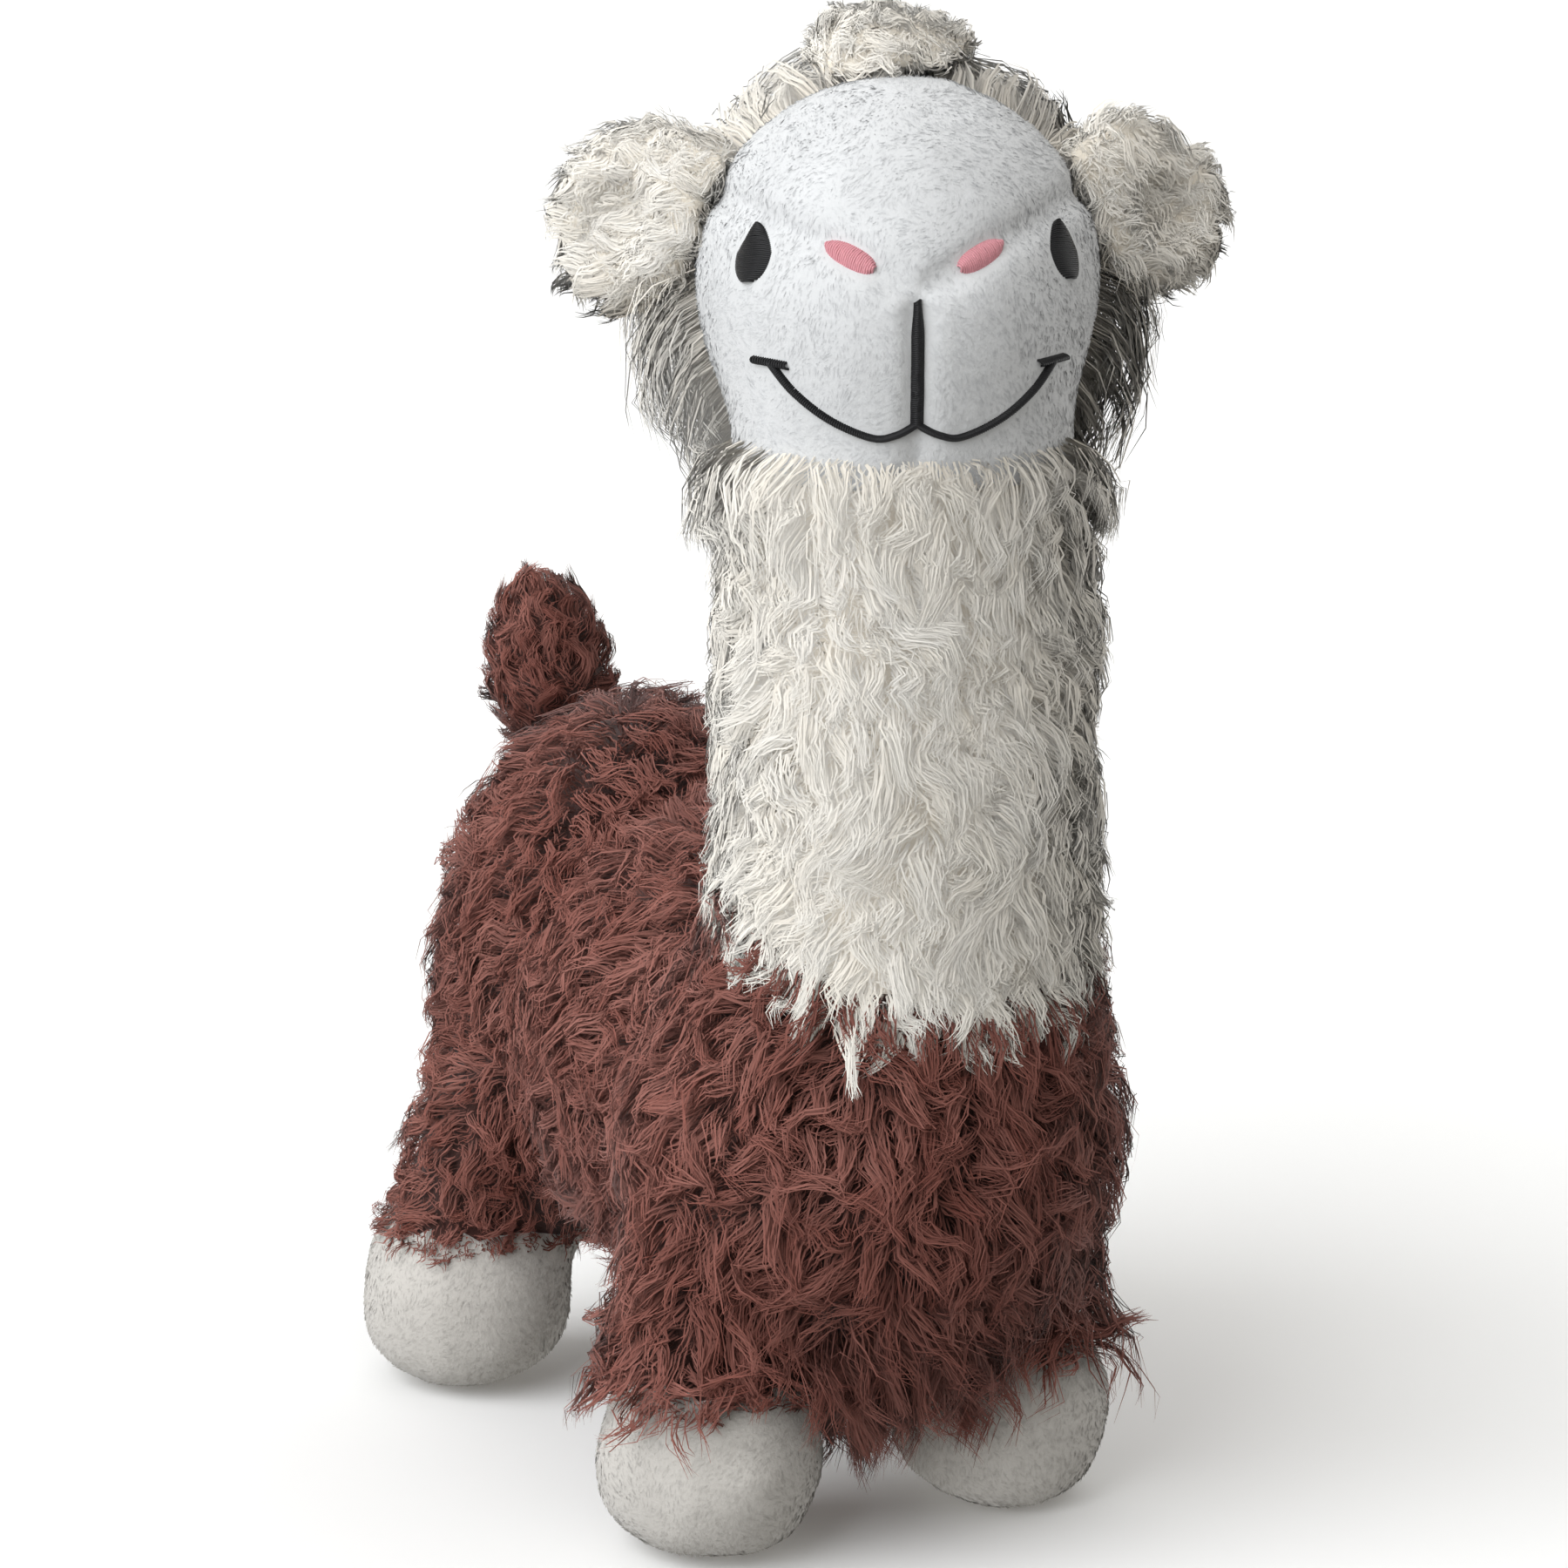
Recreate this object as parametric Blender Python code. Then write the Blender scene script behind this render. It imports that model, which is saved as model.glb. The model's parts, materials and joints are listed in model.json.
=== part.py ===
"""A plush alpaca dog toy: a stuffed standing figure, sewn from long-pile and short-pile fabric.

The toy is built the way it is sewn. One stuffed form is modelled first. Seams are cut into it,
and each fabric panel is a skin of its own thickness over its share of that form. The filling and
the squeaker lie inside. Ears, tail and topknot sit on the skin, and the embroidery on the face.
Everything is built facing straight ahead, then the neck is turned and the head raised.
The toy faces -Y, +Z is up, and it stands on z = 0. All sizes are in metres.
"""

import math

import bmesh
import bpy
from mathutils import Matrix, Vector, noise
from mathutils.bvhtree import BVHTree
from mathutils.kdtree import KDTree

# Stuffed body
CHEST_WIDTH = 0.076
CHEST_LENGTH = 0.080
CHEST_HEIGHT = 0.081
CHEST_CENTRE_Y = -0.056
CHEST_CENTRE_Z = 0.0740
RUMP_WIDTH = 0.065
RUMP_LENGTH = 0.078
RUMP_HEIGHT = 0.098
RUMP_CENTRE_Y = 0.0405
RUMP_CENTRE_Z = 0.079
LOIN_WIDTH = 0.066
LOIN_LENGTH = 0.130
LOIN_HEIGHT = 0.080

# Legs and feet
LEG_SPREAD = 0.060
FRONT_LEG_Y = -0.056
REAR_LEG_Y = 0.049
LEG_RADIUS = 0.0135
HIP_TUCK = 0.003
HIP_Z = 0.053
REAR_HIP_SHIFT = -0.009
FOOT_WIDTH = 0.038
FOOT_LENGTH = 0.043
FOOT_HEIGHT = 0.042
SOLE_SQUASH = 0.0065
TOE_REACH = 0.004
FOOT_SEAM_Z = 0.0305

# Neck and head
NECK_RADIUS = 0.0275
NECK_FOOT_RADIUS = 0.029
NECK_FOOT_Y = -0.066
NECK_TOP_Y = -0.069
HEAD_CENTRE_Y = -0.0565
HEAD_CENTRE_Z = 0.2275
HEAD_WIDTH = 0.069
HEAD_LENGTH = 0.068
HEAD_HEIGHT = 0.068
MUZZLE_WIDTH = 0.050
MUZZLE_LENGTH = 0.040
MUZZLE_HEIGHT = 0.043
MUZZLE_REACH = 0.024
MUZZLE_DROP = 0.007

# Pose of the neck and head
HEAD_TURN = math.radians(-24)
HEAD_RAISE = math.radians(10)
TURN_START_Z = 0.118
TURN_END_Z = 0.203
TURN_AXIS_Y = -0.063
TURN_BACK_START_Y = -0.030
TURN_BACK_END_Y = 0.030
RAISE_START_Z = 0.187
RAISE_END_Z = 0.219
LEAN = 0.007
LEAN_END_Z = 0.120

# Fabric and clearances
BODY_PILE = 0.0085
NECK_PILE = 0.0085
EDGE_PILE = 0.0040
EDGE_TAPER = 0.016
SHORT_PILE = 0.0025
PILE_CLUMP = 0.013
PILE_UNEVENNESS = 0.30
PILE_CROWDING = 0.45
DIRECTION_PASSES = 4
HEIGHT_PASSES = 2
SEAT_GAP = 0.0003
SEAM_GAP = 0.0008
FILLING_EASE = 0.0012
PILE_SEARCH = 0.019
FACING_SHARE = 0.05
WELD = 1e-6

# Seams
NECK_SEAM_FRONT_Z = 0.1045
NECK_SEAM_SLOPE = math.radians(22)
FACE_SEAM_SETBACK = 0.004
CHIN_SEAM_DROP = 0.030
NOSE_SEAM_DROP = 0.0035
NOSE_SEAM_SLOPE = math.radians(30)
GUSSET_SEAM_Z = 0.054

# Ears, tail and topknot, each sunk into the skin by its root depth
EAR_LENGTH = 0.029
EAR_ROOT_DEPTH = 0.008
EAR_WIDTH = 0.030
EAR_THICKNESS = 0.012
EAR_CENTRE_Z = 0.016
EAR_DROOP = math.radians(20)
EAR_SWEEP = math.radians(32)
CUP_LENGTH = 0.021
CUP_WIDTH = 0.017
CUP_DEPTH = 0.0053
TAIL_LENGTH = 0.036
TAIL_ROOT_DEPTH = 0.004
TAIL_WIDTH = 0.020
TAIL_ROOT_Y = 0.074
TAIL_ROOT_Z = 0.114
TAIL_LEAN = math.radians(20)
TOPKNOT_WIDTH = 0.034
TOPKNOT_LENGTH = 0.026
TOPKNOT_HEIGHT = 0.025
TOPKNOT_SETBACK = 0.007
TUFT_HEIGHT = 0.0011

# Embroidery
THREAD_HEIGHT = 0.0010
THREAD_EDGE_HEIGHT = 0.0004
EYE_WIDTH = 0.0056
EYE_HEIGHT = 0.0100
EYE_SPREAD = 0.053
EYE_RISE = 0.0040
EYE_POINT = 0.35
NOSTRIL_WIDTH = 0.010
NOSTRIL_HEIGHT = 0.0050
NOSTRIL_SPREAD = 0.0215
MOUTH_LINE_WIDTH = 0.0026
MOUTH_LINE_TOP_WIDTH = 0.0013
MOUTH_LINE_TOP = -0.003
MOUTH_LINE_BOTTOM = -0.0235
SMILE_WIDTH = 0.048
SMILE_RISE = 0.0105
SMILE_DIP = 0.0024
SMILE_DIP_END = 0.42
SMILE_THREAD = 0.0015
SMILE_TICK = 0.0055

# Squeaker and filling
SQUEAKER_RADIUS = 0.018
SQUEAKER_HEIGHT = 0.018
SQUEAKER_END_RADIUS = 0.011
SQUEAKER_WAIST_RADIUS = 0.0145
SQUEAKER_RIM = 0.0028
SQUEAKER_WAIST = 0.0054
FILLING_SPLIT_Y = -0.002

# Fineness of the facets
FORM_VOXEL = 0.006
FORM_TRIANGLES = 1900
FILLING_TRIANGLES = 1200
SLAB_SIZE = 1.0

CREAM_PILE = ("cream_long_pile", (0.86, 0.83, 0.76, 1), 0.95)
BROWN_PILE = ("brown_long_pile", (0.23, 0.10, 0.075, 1), 0.95)
WHITE_PLUSH = ("white_short_plush", (0.90, 0.89, 0.87, 1), 0.9)
BLACK_THREAD = ("black_thread", (0.012, 0.012, 0.014, 1), 0.55)
PINK_THREAD = ("pink_thread", (0.80, 0.36, 0.44, 1), 0.6)
FILLING_FIBRE = ("white_filling", (0.93, 0.93, 0.93, 1), 1.0)
SQUEAKER_PLASTIC = ("clear_plastic", (0.85, 0.88, 0.88, 1), 0.35)


def clear_scene():
    for obj in list(bpy.data.objects):
        bpy.data.objects.remove(obj)


def material(finish):
    name, colour, roughness = finish
    found = bpy.data.materials.get(name)
    if found is None:
        found = bpy.data.materials.new(name)
        found.use_nodes = True
        shader = found.node_tree.nodes["Principled BSDF"]
        shader.inputs["Base Color"].default_value = colour
        shader.inputs["Roughness"].default_value = roughness
        shader.inputs["Metallic"].default_value = 0.0
    return found


def mesh_object(name, shape, finish):
    """A named object for one piece, from a bmesh, which is freed."""
    mesh = bpy.data.meshes.new(name)
    shape.to_mesh(mesh)
    shape.free()
    mesh.materials.append(material(finish))
    mesh.shade_smooth()
    mesh.set_sharp_from_angle(angle=math.radians(50))
    obj = bpy.data.objects.new(name, mesh)
    bpy.context.scene.collection.objects.link(obj)
    return obj


def with_modifiers(shape, *settings):
    """A bmesh after modifiers, each given as (type, {setting: value})."""
    mesh = bpy.data.meshes.new("work")
    shape.to_mesh(mesh)
    shape.free()
    helper = bpy.data.objects.new("work", mesh)
    bpy.context.scene.collection.objects.link(helper)
    for kind, values in settings:
        modifier = helper.modifiers.new(kind.lower(), kind)
        for key, value in values.items():
            setattr(modifier, key, value)
    bpy.context.view_layer.update()
    graph = bpy.context.evaluated_depsgraph_get()
    result = bmesh.new()
    result.from_mesh(helper.evaluated_get(graph).to_mesh())
    bpy.data.objects.remove(helper)
    bpy.data.meshes.remove(mesh)
    return result


def unique(items):
    """The items in their first order, each once."""
    return list(dict.fromkeys(items))


def add_ellipsoid(shape, centre, size):
    matrix = Matrix.Translation(centre) @ Matrix.Diagonal((*(Vector(size) / 2), 1))
    bmesh.ops.create_uvsphere(shape, u_segments=32, v_segments=20, radius=1, matrix=matrix)


def add_limb(shape, start, end, start_radius, end_radius):
    """A tapered limb with round ends."""
    start, end = Vector(start), Vector(end)
    along = end - start
    matrix = (
        Matrix.Translation((start + end) / 2)
        @ along.to_track_quat("Z", "Y").to_matrix().to_4x4()
    )
    bmesh.ops.create_cone(
        shape,
        cap_ends=True,
        segments=32,
        radius1=start_radius,
        radius2=end_radius,
        depth=along.length,
        matrix=matrix,
    )
    add_ellipsoid(shape, start, (2 * start_radius,) * 3)
    add_ellipsoid(shape, end, (2 * end_radius,) * 3)


def smooth_share(value, low, high):
    share = min(1, max(0, (value - low) / (high - low)))
    return share * share * (3 - 2 * share)


def head_centre():
    return Vector((0, HEAD_CENTRE_Y, HEAD_CENTRE_Z))


def muzzle_centre():
    return head_centre() + Vector((0, -MUZZLE_REACH, -MUZZLE_DROP))


def leg_places():
    """The name and the axis of each leg."""
    for end, y in (("front", FRONT_LEG_Y), ("rear", REAR_LEG_Y)):
        for side, sign in (("right", -1), ("left", 1)):
            yield f"{end}_{side}", Vector((sign * LEG_SPREAD / 2, y, 0))


def sole_z():
    """The height of the form's flat soles, which leaves room for the plush under them."""
    return SHORT_PILE + SEAT_GAP / 2


def stuffed_form():
    """The whole stuffed toy without its fabric, as one closed surface."""
    shape = bmesh.new()
    chest = (0, CHEST_CENTRE_Y, CHEST_CENTRE_Z)
    rump = (0, RUMP_CENTRE_Y, RUMP_CENTRE_Z)
    loin = (0, (CHEST_CENTRE_Y + RUMP_CENTRE_Y) / 2, (CHEST_CENTRE_Z + RUMP_CENTRE_Z) / 2)
    add_ellipsoid(shape, chest, (CHEST_WIDTH, CHEST_LENGTH, CHEST_HEIGHT))
    add_ellipsoid(shape, rump, (RUMP_WIDTH, RUMP_LENGTH, RUMP_HEIGHT))
    add_ellipsoid(shape, loin, (LOIN_WIDTH, LOIN_LENGTH, LOIN_HEIGHT))
    for leg, axis in leg_places():
        ankle = axis + Vector((0, 0, sole_z() + FOOT_HEIGHT / 2 - SOLE_SQUASH))
        hip = Vector((axis.x - math.copysign(HIP_TUCK, axis.x), axis.y, HIP_Z))
        if leg.startswith("rear"):
            hip.y += REAR_HIP_SHIFT
        add_limb(shape, ankle, hip, LEG_RADIUS, LEG_RADIUS)
        toe = ankle + Vector((0, -TOE_REACH, 0))
        add_ellipsoid(shape, toe, (FOOT_WIDTH, FOOT_LENGTH, FOOT_HEIGHT))
    neck_foot = (0, NECK_FOOT_Y, CHEST_CENTRE_Z)
    neck_top = (0, NECK_TOP_Y, HEAD_CENTRE_Z)
    add_limb(shape, neck_foot, neck_top, NECK_FOOT_RADIUS, NECK_RADIUS)
    add_ellipsoid(shape, head_centre(), (HEAD_WIDTH, HEAD_LENGTH, HEAD_HEIGHT))
    add_ellipsoid(shape, muzzle_centre(), (MUZZLE_WIDTH, MUZZLE_LENGTH, MUZZLE_HEIGHT))
    rough = with_modifiers(
        shape,
        ("REMESH", {"mode": "VOXEL", "voxel_size": FORM_VOXEL}),
        ("SMOOTH", {"factor": 0.5, "iterations": 4}),
    )
    ratio = FORM_TRIANGLES / (2 * len(rough.faces))
    form = with_modifiers(rough, ("DECIMATE", {"ratio": min(1.0, ratio)}))
    bmesh.ops.triangulate(form, faces=form.faces)
    for vert in form.verts:
        vert.co.z = max(vert.co.z, sole_z())
    return form


def cut_seam(form, point, normal, where):
    """Adds the edges of a plane's cut to the faces whose centre is inside where."""
    faces = [face for face in form.faces if where(face.calc_center_median())]
    edges = unique(edge for face in faces for edge in face.edges)
    verts = unique(vert for face in faces for vert in face.verts)
    bmesh.ops.bisect_plane(
        form,
        geom=[*verts, *edges, *faces],
        dist=WELD,
        plane_co=point,
        plane_no=normal,
    )
    bmesh.ops.triangulate(form, faces=[face for face in form.faces if len(face.verts) > 3])


def neck_seam():
    """A point on the seam's plane round the foot of the neck, and the plane's upward normal."""
    point = Vector((0, NECK_FOOT_Y - NECK_RADIUS, NECK_SEAM_FRONT_Z))
    return point, Vector((0, -math.sin(NECK_SEAM_SLOPE), math.cos(NECK_SEAM_SLOPE)))


def above_neck_seam(place):
    point, normal = neck_seam()
    return (place - point).dot(normal) > 0


def face_seam_y():
    return HEAD_CENTRE_Y + FACE_SEAM_SETBACK


def chin_seam_z():
    return HEAD_CENTRE_Z - CHIN_SEAM_DROP


def nose_point():
    return Vector((0, 0, HEAD_CENTRE_Z - NOSE_SEAM_DROP))


def on_face(place):
    return place.y < face_seam_y() and place.z > chin_seam_z()


def above_nose_seams(place):
    return place.z > nose_point().z + abs(place.x) * math.tan(NOSE_SEAM_SLOPE)


def by_a_foot(place):
    """Whether a place is near enough to a leg's axis, seen from above, to be part of its foot."""
    reach = FOOT_LENGTH / 2 + TOE_REACH
    return any(((place - axis) * Vector((1, 1, 0))).length < reach for _, axis in leg_places())


def between_legs(place):
    return abs(place.x) < LEG_SPREAD / 2


def cut_seams(form):
    """Cuts every seam of the toy into the form's surface."""
    centre = Vector((0, 0, 0))
    across, upward = Vector((1, 0, 0)), Vector((0, 0, 1))
    cut_seam(form, centre, across, lambda place: True)
    cut_seam(form, *neck_seam(), lambda place: True)
    cut_seam(form, upward * FOOT_SEAM_Z, upward, by_a_foot)
    cut_seam(form, upward * chin_seam_z(), upward, lambda place: place.y < face_seam_y() + FORM_VOXEL)
    cut_seam(form, Vector((0, face_seam_y(), 0)), Vector((0, 1, 0)), lambda place: place.z > chin_seam_z())
    for sign in (-1, 1):
        slope = Vector((-sign * math.sin(NOSE_SEAM_SLOPE), 0, math.cos(NOSE_SEAM_SLOPE)))
        cut_seam(form, nose_point(), slope, lambda place: on_face(place) and place.x * sign > 0)
        side = across * sign * LEG_SPREAD / 2
        cut_seam(form, side, across, lambda place: FOOT_SEAM_Z < place.z < GUSSET_SEAM_Z)
    low = upward * GUSSET_SEAM_Z
    cut_seam(form, low, upward, lambda place: between_legs(place) and not above_neck_seam(place))


def panel_of(place):
    """The name of the sewn panel that covers this place on the form."""
    side = "right" if place.x < 0 else "left"
    if above_neck_seam(place):
        if not on_face(place):
            return f"neck_panel_{side}"
        return "forehead_panel" if above_nose_seams(place) else f"cheek_panel_{side}"
    if place.z < FOOT_SEAM_Z and by_a_foot(place):
        end = "front" if place.y < (FRONT_LEG_Y + REAR_LEG_Y) / 2 else "rear"
        return f"foot_{end}_{side}"
    if between_legs(place) and place.z < GUSSET_SEAM_Z:
        return "belly_gusset"
    return f"body_panel_{side}"


def fabric_of(panel):
    if panel.startswith("neck"):
        return CREAM_PILE
    return BROWN_PILE if panel.startswith(("body", "belly")) else WHITE_PLUSH


def pile_of(fabric):
    return {CREAM_PILE: NECK_PILE, BROWN_PILE: BODY_PILE, WHITE_PLUSH: SHORT_PILE}[fabric]


def clumped(place, pile):
    """The height of a long pile at this place, uneven as its locks are. A short pile is even."""
    if pile == SHORT_PILE:
        return pile
    return pile * (1 + PILE_UNEVENNESS * 2 * noise.noise(place / PILE_CLUMP))


def pile_directions(form):
    """The way the pile stands on each vertex: the normals of the form, evened out."""
    directions = {vert: vert.normal.copy() for vert in form.verts}
    for _ in range(DIRECTION_PASSES):
        evened = {}
        for vert, direction in directions.items():
            near = sum((directions[edge.other_vert(vert)] for edge in vert.link_edges), Vector())
            evened[vert] = (direction + near / len(vert.link_edges)).normalized()
        directions = evened
    for vert in directions:
        if vert.co.z < sole_z() + WELD:
            directions[vert] = Vector((0, 0, -1))
    return directions


def pile_room(vert, direction, places):
    """How high pile can stand on a vertex before it meets the pile of a facing part of the form."""
    room = math.inf
    for place, _, distance in places.find_range(vert.co, PILE_SEARCH):
        rise = direction.dot(place - vert.co)
        if rise > distance * FACING_SHARE:
            room = min(room, distance * distance / (2 * rise))
    return room


def tapered(place, pile):
    """The height of the pile at this place: long pile is trimmed towards the feet and the chin."""
    above_feet = smooth_share(place.z, FOOT_SEAM_Z, FOOT_SEAM_Z + EDGE_TAPER)
    from_chin = max(abs(place.z - chin_seam_z()), place.y - face_seam_y())
    off_chin = smooth_share(from_chin, 0, EDGE_TAPER)
    least = min(EDGE_PILE, pile)
    return least + (pile - least) * min(above_feet, off_chin)


def pile_heights(form, directions):
    """For each fabric, the height of its pile over each of its vertices. Facing piles share room."""
    places = KDTree(len(form.verts))
    for vert in form.verts:
        places.insert(vert.co, vert.index)
    places.balance()
    heights = {}
    for vert in form.verts:
        room = PILE_CROWDING * pile_room(vert, directions[vert], places)
        for fabric in unique(fabric_of(panel_of(face.calc_center_median())) for face in vert.link_faces):
            pile = tapered(vert.co, clumped(vert.co, pile_of(fabric)))
            heights[fabric, vert] = max(SHORT_PILE / 2, min(pile, room))
    for _ in range(HEIGHT_PASSES):
        heights = evened(heights)
    return heights


def evened(heights):
    """The heights, each averaged with its neighbours in the same fabric."""
    result = {}
    for (fabric, vert), height in heights.items():
        others = (heights.get((fabric, edge.other_vert(vert))) for edge in vert.link_edges)
        near = [height, *(other for other in others if other is not None)]
        result[fabric, vert] = sum(near) / len(near)
    return result


def lifted(vert, direction, height):
    """The place this high above a vertex of the form, and no lower than the floor."""
    place = vert.co + direction * height
    place.z = max(place.z, 0)
    return place


def seam_insets(faces):
    """For each vertex on the edge of these faces, the short way into them that opens half a seam gap."""
    chosen = set(faces)
    insets = {}
    for face in faces:
        for loop in face.loops:
            if sum(other in chosen for other in loop.edge.link_faces) > 1:
                continue
            start, end = loop.vert, loop.link_loop_next.vert
            inward = face.normal.cross(end.co - start.co).normalized()
            for vert in (start, end):
                insets[vert] = insets.get(vert, Vector()) + inward
    for vert, total in insets.items():
        if total.length > WELD:
            insets[vert] = total.normalized() * SEAM_GAP / 2
    return insets


def solid_between(faces, low, high):
    """A closed shape between two places for each vertex of these faces, given by low and high."""
    shape = bmesh.new()
    chosen = set(faces)
    verts = unique(vert for face in faces for vert in face.verts)
    bottom = {vert: shape.verts.new(low(vert)) for vert in verts}
    top = {vert: shape.verts.new(high(vert)) for vert in verts}
    for face in faces:
        shape.faces.new([top[vert] for vert in face.verts])
        shape.faces.new([bottom[vert] for vert in reversed(face.verts)])
        for loop in face.loops:
            if sum(other in chosen for other in loop.edge.link_faces) > 1:
                continue
            start, end = loop.vert, loop.link_loop_next.vert
            if start.co[:] < end.co[:]:
                walls = (top[end], top[start], bottom[start]), (top[end], bottom[start], bottom[end])
            else:
                walls = (top[end], top[start], bottom[end]), (top[start], bottom[start], bottom[end])
            for wall in walls:
                shape.faces.new(wall)
    bmesh.ops.triangulate(shape, faces=shape.faces)
    return shape


def cover_panels(form, directions, heights):
    """Each sewn panel of the skin as a solid of its own, over its faces of the form."""
    groups = {}
    for face in form.faces:
        groups.setdefault(panel_of(face.calc_center_median()), []).append(face)
    for panel in sorted(groups):
        faces = groups[panel]
        fabric = fabric_of(panel)
        insets = seam_insets(faces)

        def low(vert):
            return lifted(vert, directions[vert], SEAT_GAP / 2) + insets.get(vert, Vector())

        def high(vert):
            height = SEAT_GAP / 2 + heights[fabric, vert]
            return lifted(vert, directions[vert], height) + insets.get(vert, Vector())

        mesh_object(panel, solid_between(faces, low, high), fabric)


def raised_copy(form, directions, height):
    """A closed copy of the form's surface, at the height that this function gives for a vertex."""
    shape = form.copy()
    for old, new in zip(form.verts, shape.verts):
        new.co = lifted(old, directions[old], height(old))
    return shape


def over_the_skin(form, directions, heights):
    """A closed surface just clear of every panel, which trims what is sewn on to the skin."""
    tallest = {}
    for (_, vert), height in heights.items():
        tallest[vert] = max(height, tallest.get(vert, 0))
    return raised_copy(form, directions, lambda vert: tallest[vert] + 2 * SEAT_GAP)


def without(shape, other):
    """What is left of a shape outside another. The first is freed, and the second is kept."""
    mesh = bpy.data.meshes.new("cutter")
    other.to_mesh(mesh)
    cutter = bpy.data.objects.new("cutter", mesh)
    bpy.context.scene.collection.objects.link(cutter)
    result = with_modifiers(shape, ("BOOLEAN", {"operation": "DIFFERENCE", "object": cutter}))
    bpy.data.objects.remove(cutter)
    bpy.data.meshes.remove(mesh)
    return result


def slab(point, normal):
    """A large block whose one face lies in a plane, on the side that the normal points to."""
    shape = bmesh.new()
    turn = normal.to_track_quat("Z", "Y").to_matrix().to_4x4()
    matrix = Matrix.Translation(point) @ turn @ Matrix.Translation((0, 0, SLAB_SIZE / 2))
    bmesh.ops.create_cube(shape, size=SLAB_SIZE, matrix=matrix)
    return shape


def padded(centre, size, turn):
    """A rounded pad, with few facets."""
    shape = bmesh.new()
    matrix = Matrix.Translation(centre) @ turn @ Matrix.Diagonal((*(Vector(size) / 2), 1))
    bmesh.ops.create_uvsphere(shape, u_segments=16, v_segments=10, radius=1, matrix=matrix)
    bmesh.ops.triangulate(shape, faces=shape.faces)
    return shape


def tufted(centre, size, turn):
    """A rounded pad with its surface moved in and out, as tufts of pile do."""
    shape = padded(centre, size, turn)
    shape.normal_update()
    moves = [vert.normal * 2 * TUFT_HEIGHT * noise.noise(vert.co / PILE_CLUMP) for vert in shape.verts]
    for vert, move in zip(shape.verts, moves):
        vert.co += move
    return shape


def ears(skin):
    """Each ear is a back and a cupped front, sewn together round the edge."""
    for side, sign in (("right", -1), ("left", 1)):
        sweep = Matrix.Rotation(sign * EAR_SWEEP, 4, "Z")
        turn = sweep @ Matrix.Rotation(sign * EAR_DROOP, 4, "Y")
        outward = turn @ Vector((sign, 0, 0))
        forward = turn @ Vector((0, -1, 0))
        root = head_centre() + Vector((sign * HEAD_WIDTH / 2, 0, EAR_CENTRE_Z))
        centre = root + outward * (EAR_LENGTH - EAR_ROOT_DEPTH) / 2
        size = (EAR_LENGTH + EAR_ROOT_DEPTH, EAR_THICKNESS, EAR_WIDTH)
        cup_centre = root + outward * EAR_LENGTH / 2 + forward * EAR_THICKNESS / 2
        cup = padded(cup_centre, (CUP_LENGTH, 2 * CUP_DEPTH, CUP_WIDTH), turn)
        for half, facing in (("front", 1), ("back", -1)):
            other_half = slab(centre + forward * facing * SEAM_GAP / 2, -facing * forward)
            shape = without(tufted(centre, size, turn), other_half)
            other_half.free()
            shape = without(shape, skin)
            if half == "front":
                shape = without(shape, cup)
            mesh_object(f"ear_{half}_{side}", shape, CREAM_PILE)
        cup.free()


def tail(skin):
    root = Vector((0, TAIL_ROOT_Y, TAIL_ROOT_Z))
    turn = Matrix.Rotation(-TAIL_LEAN, 4, "X")
    centre = root + turn @ Vector((0, 0, (TAIL_LENGTH - TAIL_ROOT_DEPTH) / 2))
    size = (TAIL_WIDTH, TAIL_WIDTH, TAIL_LENGTH + TAIL_ROOT_DEPTH)
    mesh_object("tail", without(tufted(centre, size, turn), skin), BROWN_PILE)


def topknot(skin):
    centre = head_centre() + Vector((0, TOPKNOT_SETBACK, HEAD_HEIGHT / 2))
    size = (TOPKNOT_WIDTH, TOPKNOT_LENGTH, TOPKNOT_HEIGHT)
    shape = tufted(centre, size, Matrix.Identity(4))
    mesh_object("topknot", without(shape, skin), CREAM_PILE)


def embroidered(name, flat, plush, finish):
    """Raised stitching: a flat shape, drawn in X and Z, laid on the plush and given its height."""
    low, high = {}, {}
    for vert in flat.verts:
        origin = Vector((vert.co.x, -1, vert.co.z))
        place, normal, _, _ = plush.ray_cast(origin, Vector((0, 1, 0)))
        height = THREAD_EDGE_HEIGHT if vert.is_boundary else THREAD_HEIGHT
        low[vert] = place
        high[vert] = place + normal * height
    mesh_object(name, solid_between(flat.faces[:], low.get, high.get), finish)
    flat.free()


def flat_oval(centre, size, tilt, rings=3, segments=16, point=0.0):
    """A flat oval in X and Z. A positive point draws its upper end in."""
    shape = bmesh.new()
    middle = shape.verts.new(centre)
    inner = None
    for ring in range(1, rings + 1):
        loop = []
        for step in range(segments):
            angle = 2 * math.pi * step / segments
            across = size[0] / 2 * math.cos(angle) * (1 - point * max(0, math.sin(angle)))
            place = Vector((across, 0, size[1] / 2 * math.sin(angle))) * ring / rings
            loop.append(shape.verts.new(centre + Matrix.Rotation(tilt, 3, "Y") @ place))
        for step in range(segments):
            here, after = loop[step], loop[(step + 1) % segments]
            if inner is None:
                shape.faces.new((middle, here, after))
            else:
                shape.faces.new((inner[step], here, after, inner[(step + 1) % segments]))
        inner = loop
    return shape


def flat_stroke(places, widths):
    """A flat line of stitching in X and Z, along these places, with a width at each."""
    shape = bmesh.new()
    rows = []
    for index, place in enumerate(places):
        before, after = places[max(index - 1, 0)], places[min(index + 1, len(places) - 1)]
        along = (after - before).normalized()
        side = Vector((along.z, 0, -along.x)) * widths[index] / 2
        rows.append([shape.verts.new(place + side * share) for share in (-1, 0, 1)])
    for here, after in zip(rows, rows[1:]):
        for left in (0, 1):
            shape.faces.new((here[left], here[left + 1], after[left + 1], after[left]))
    return shape


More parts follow.
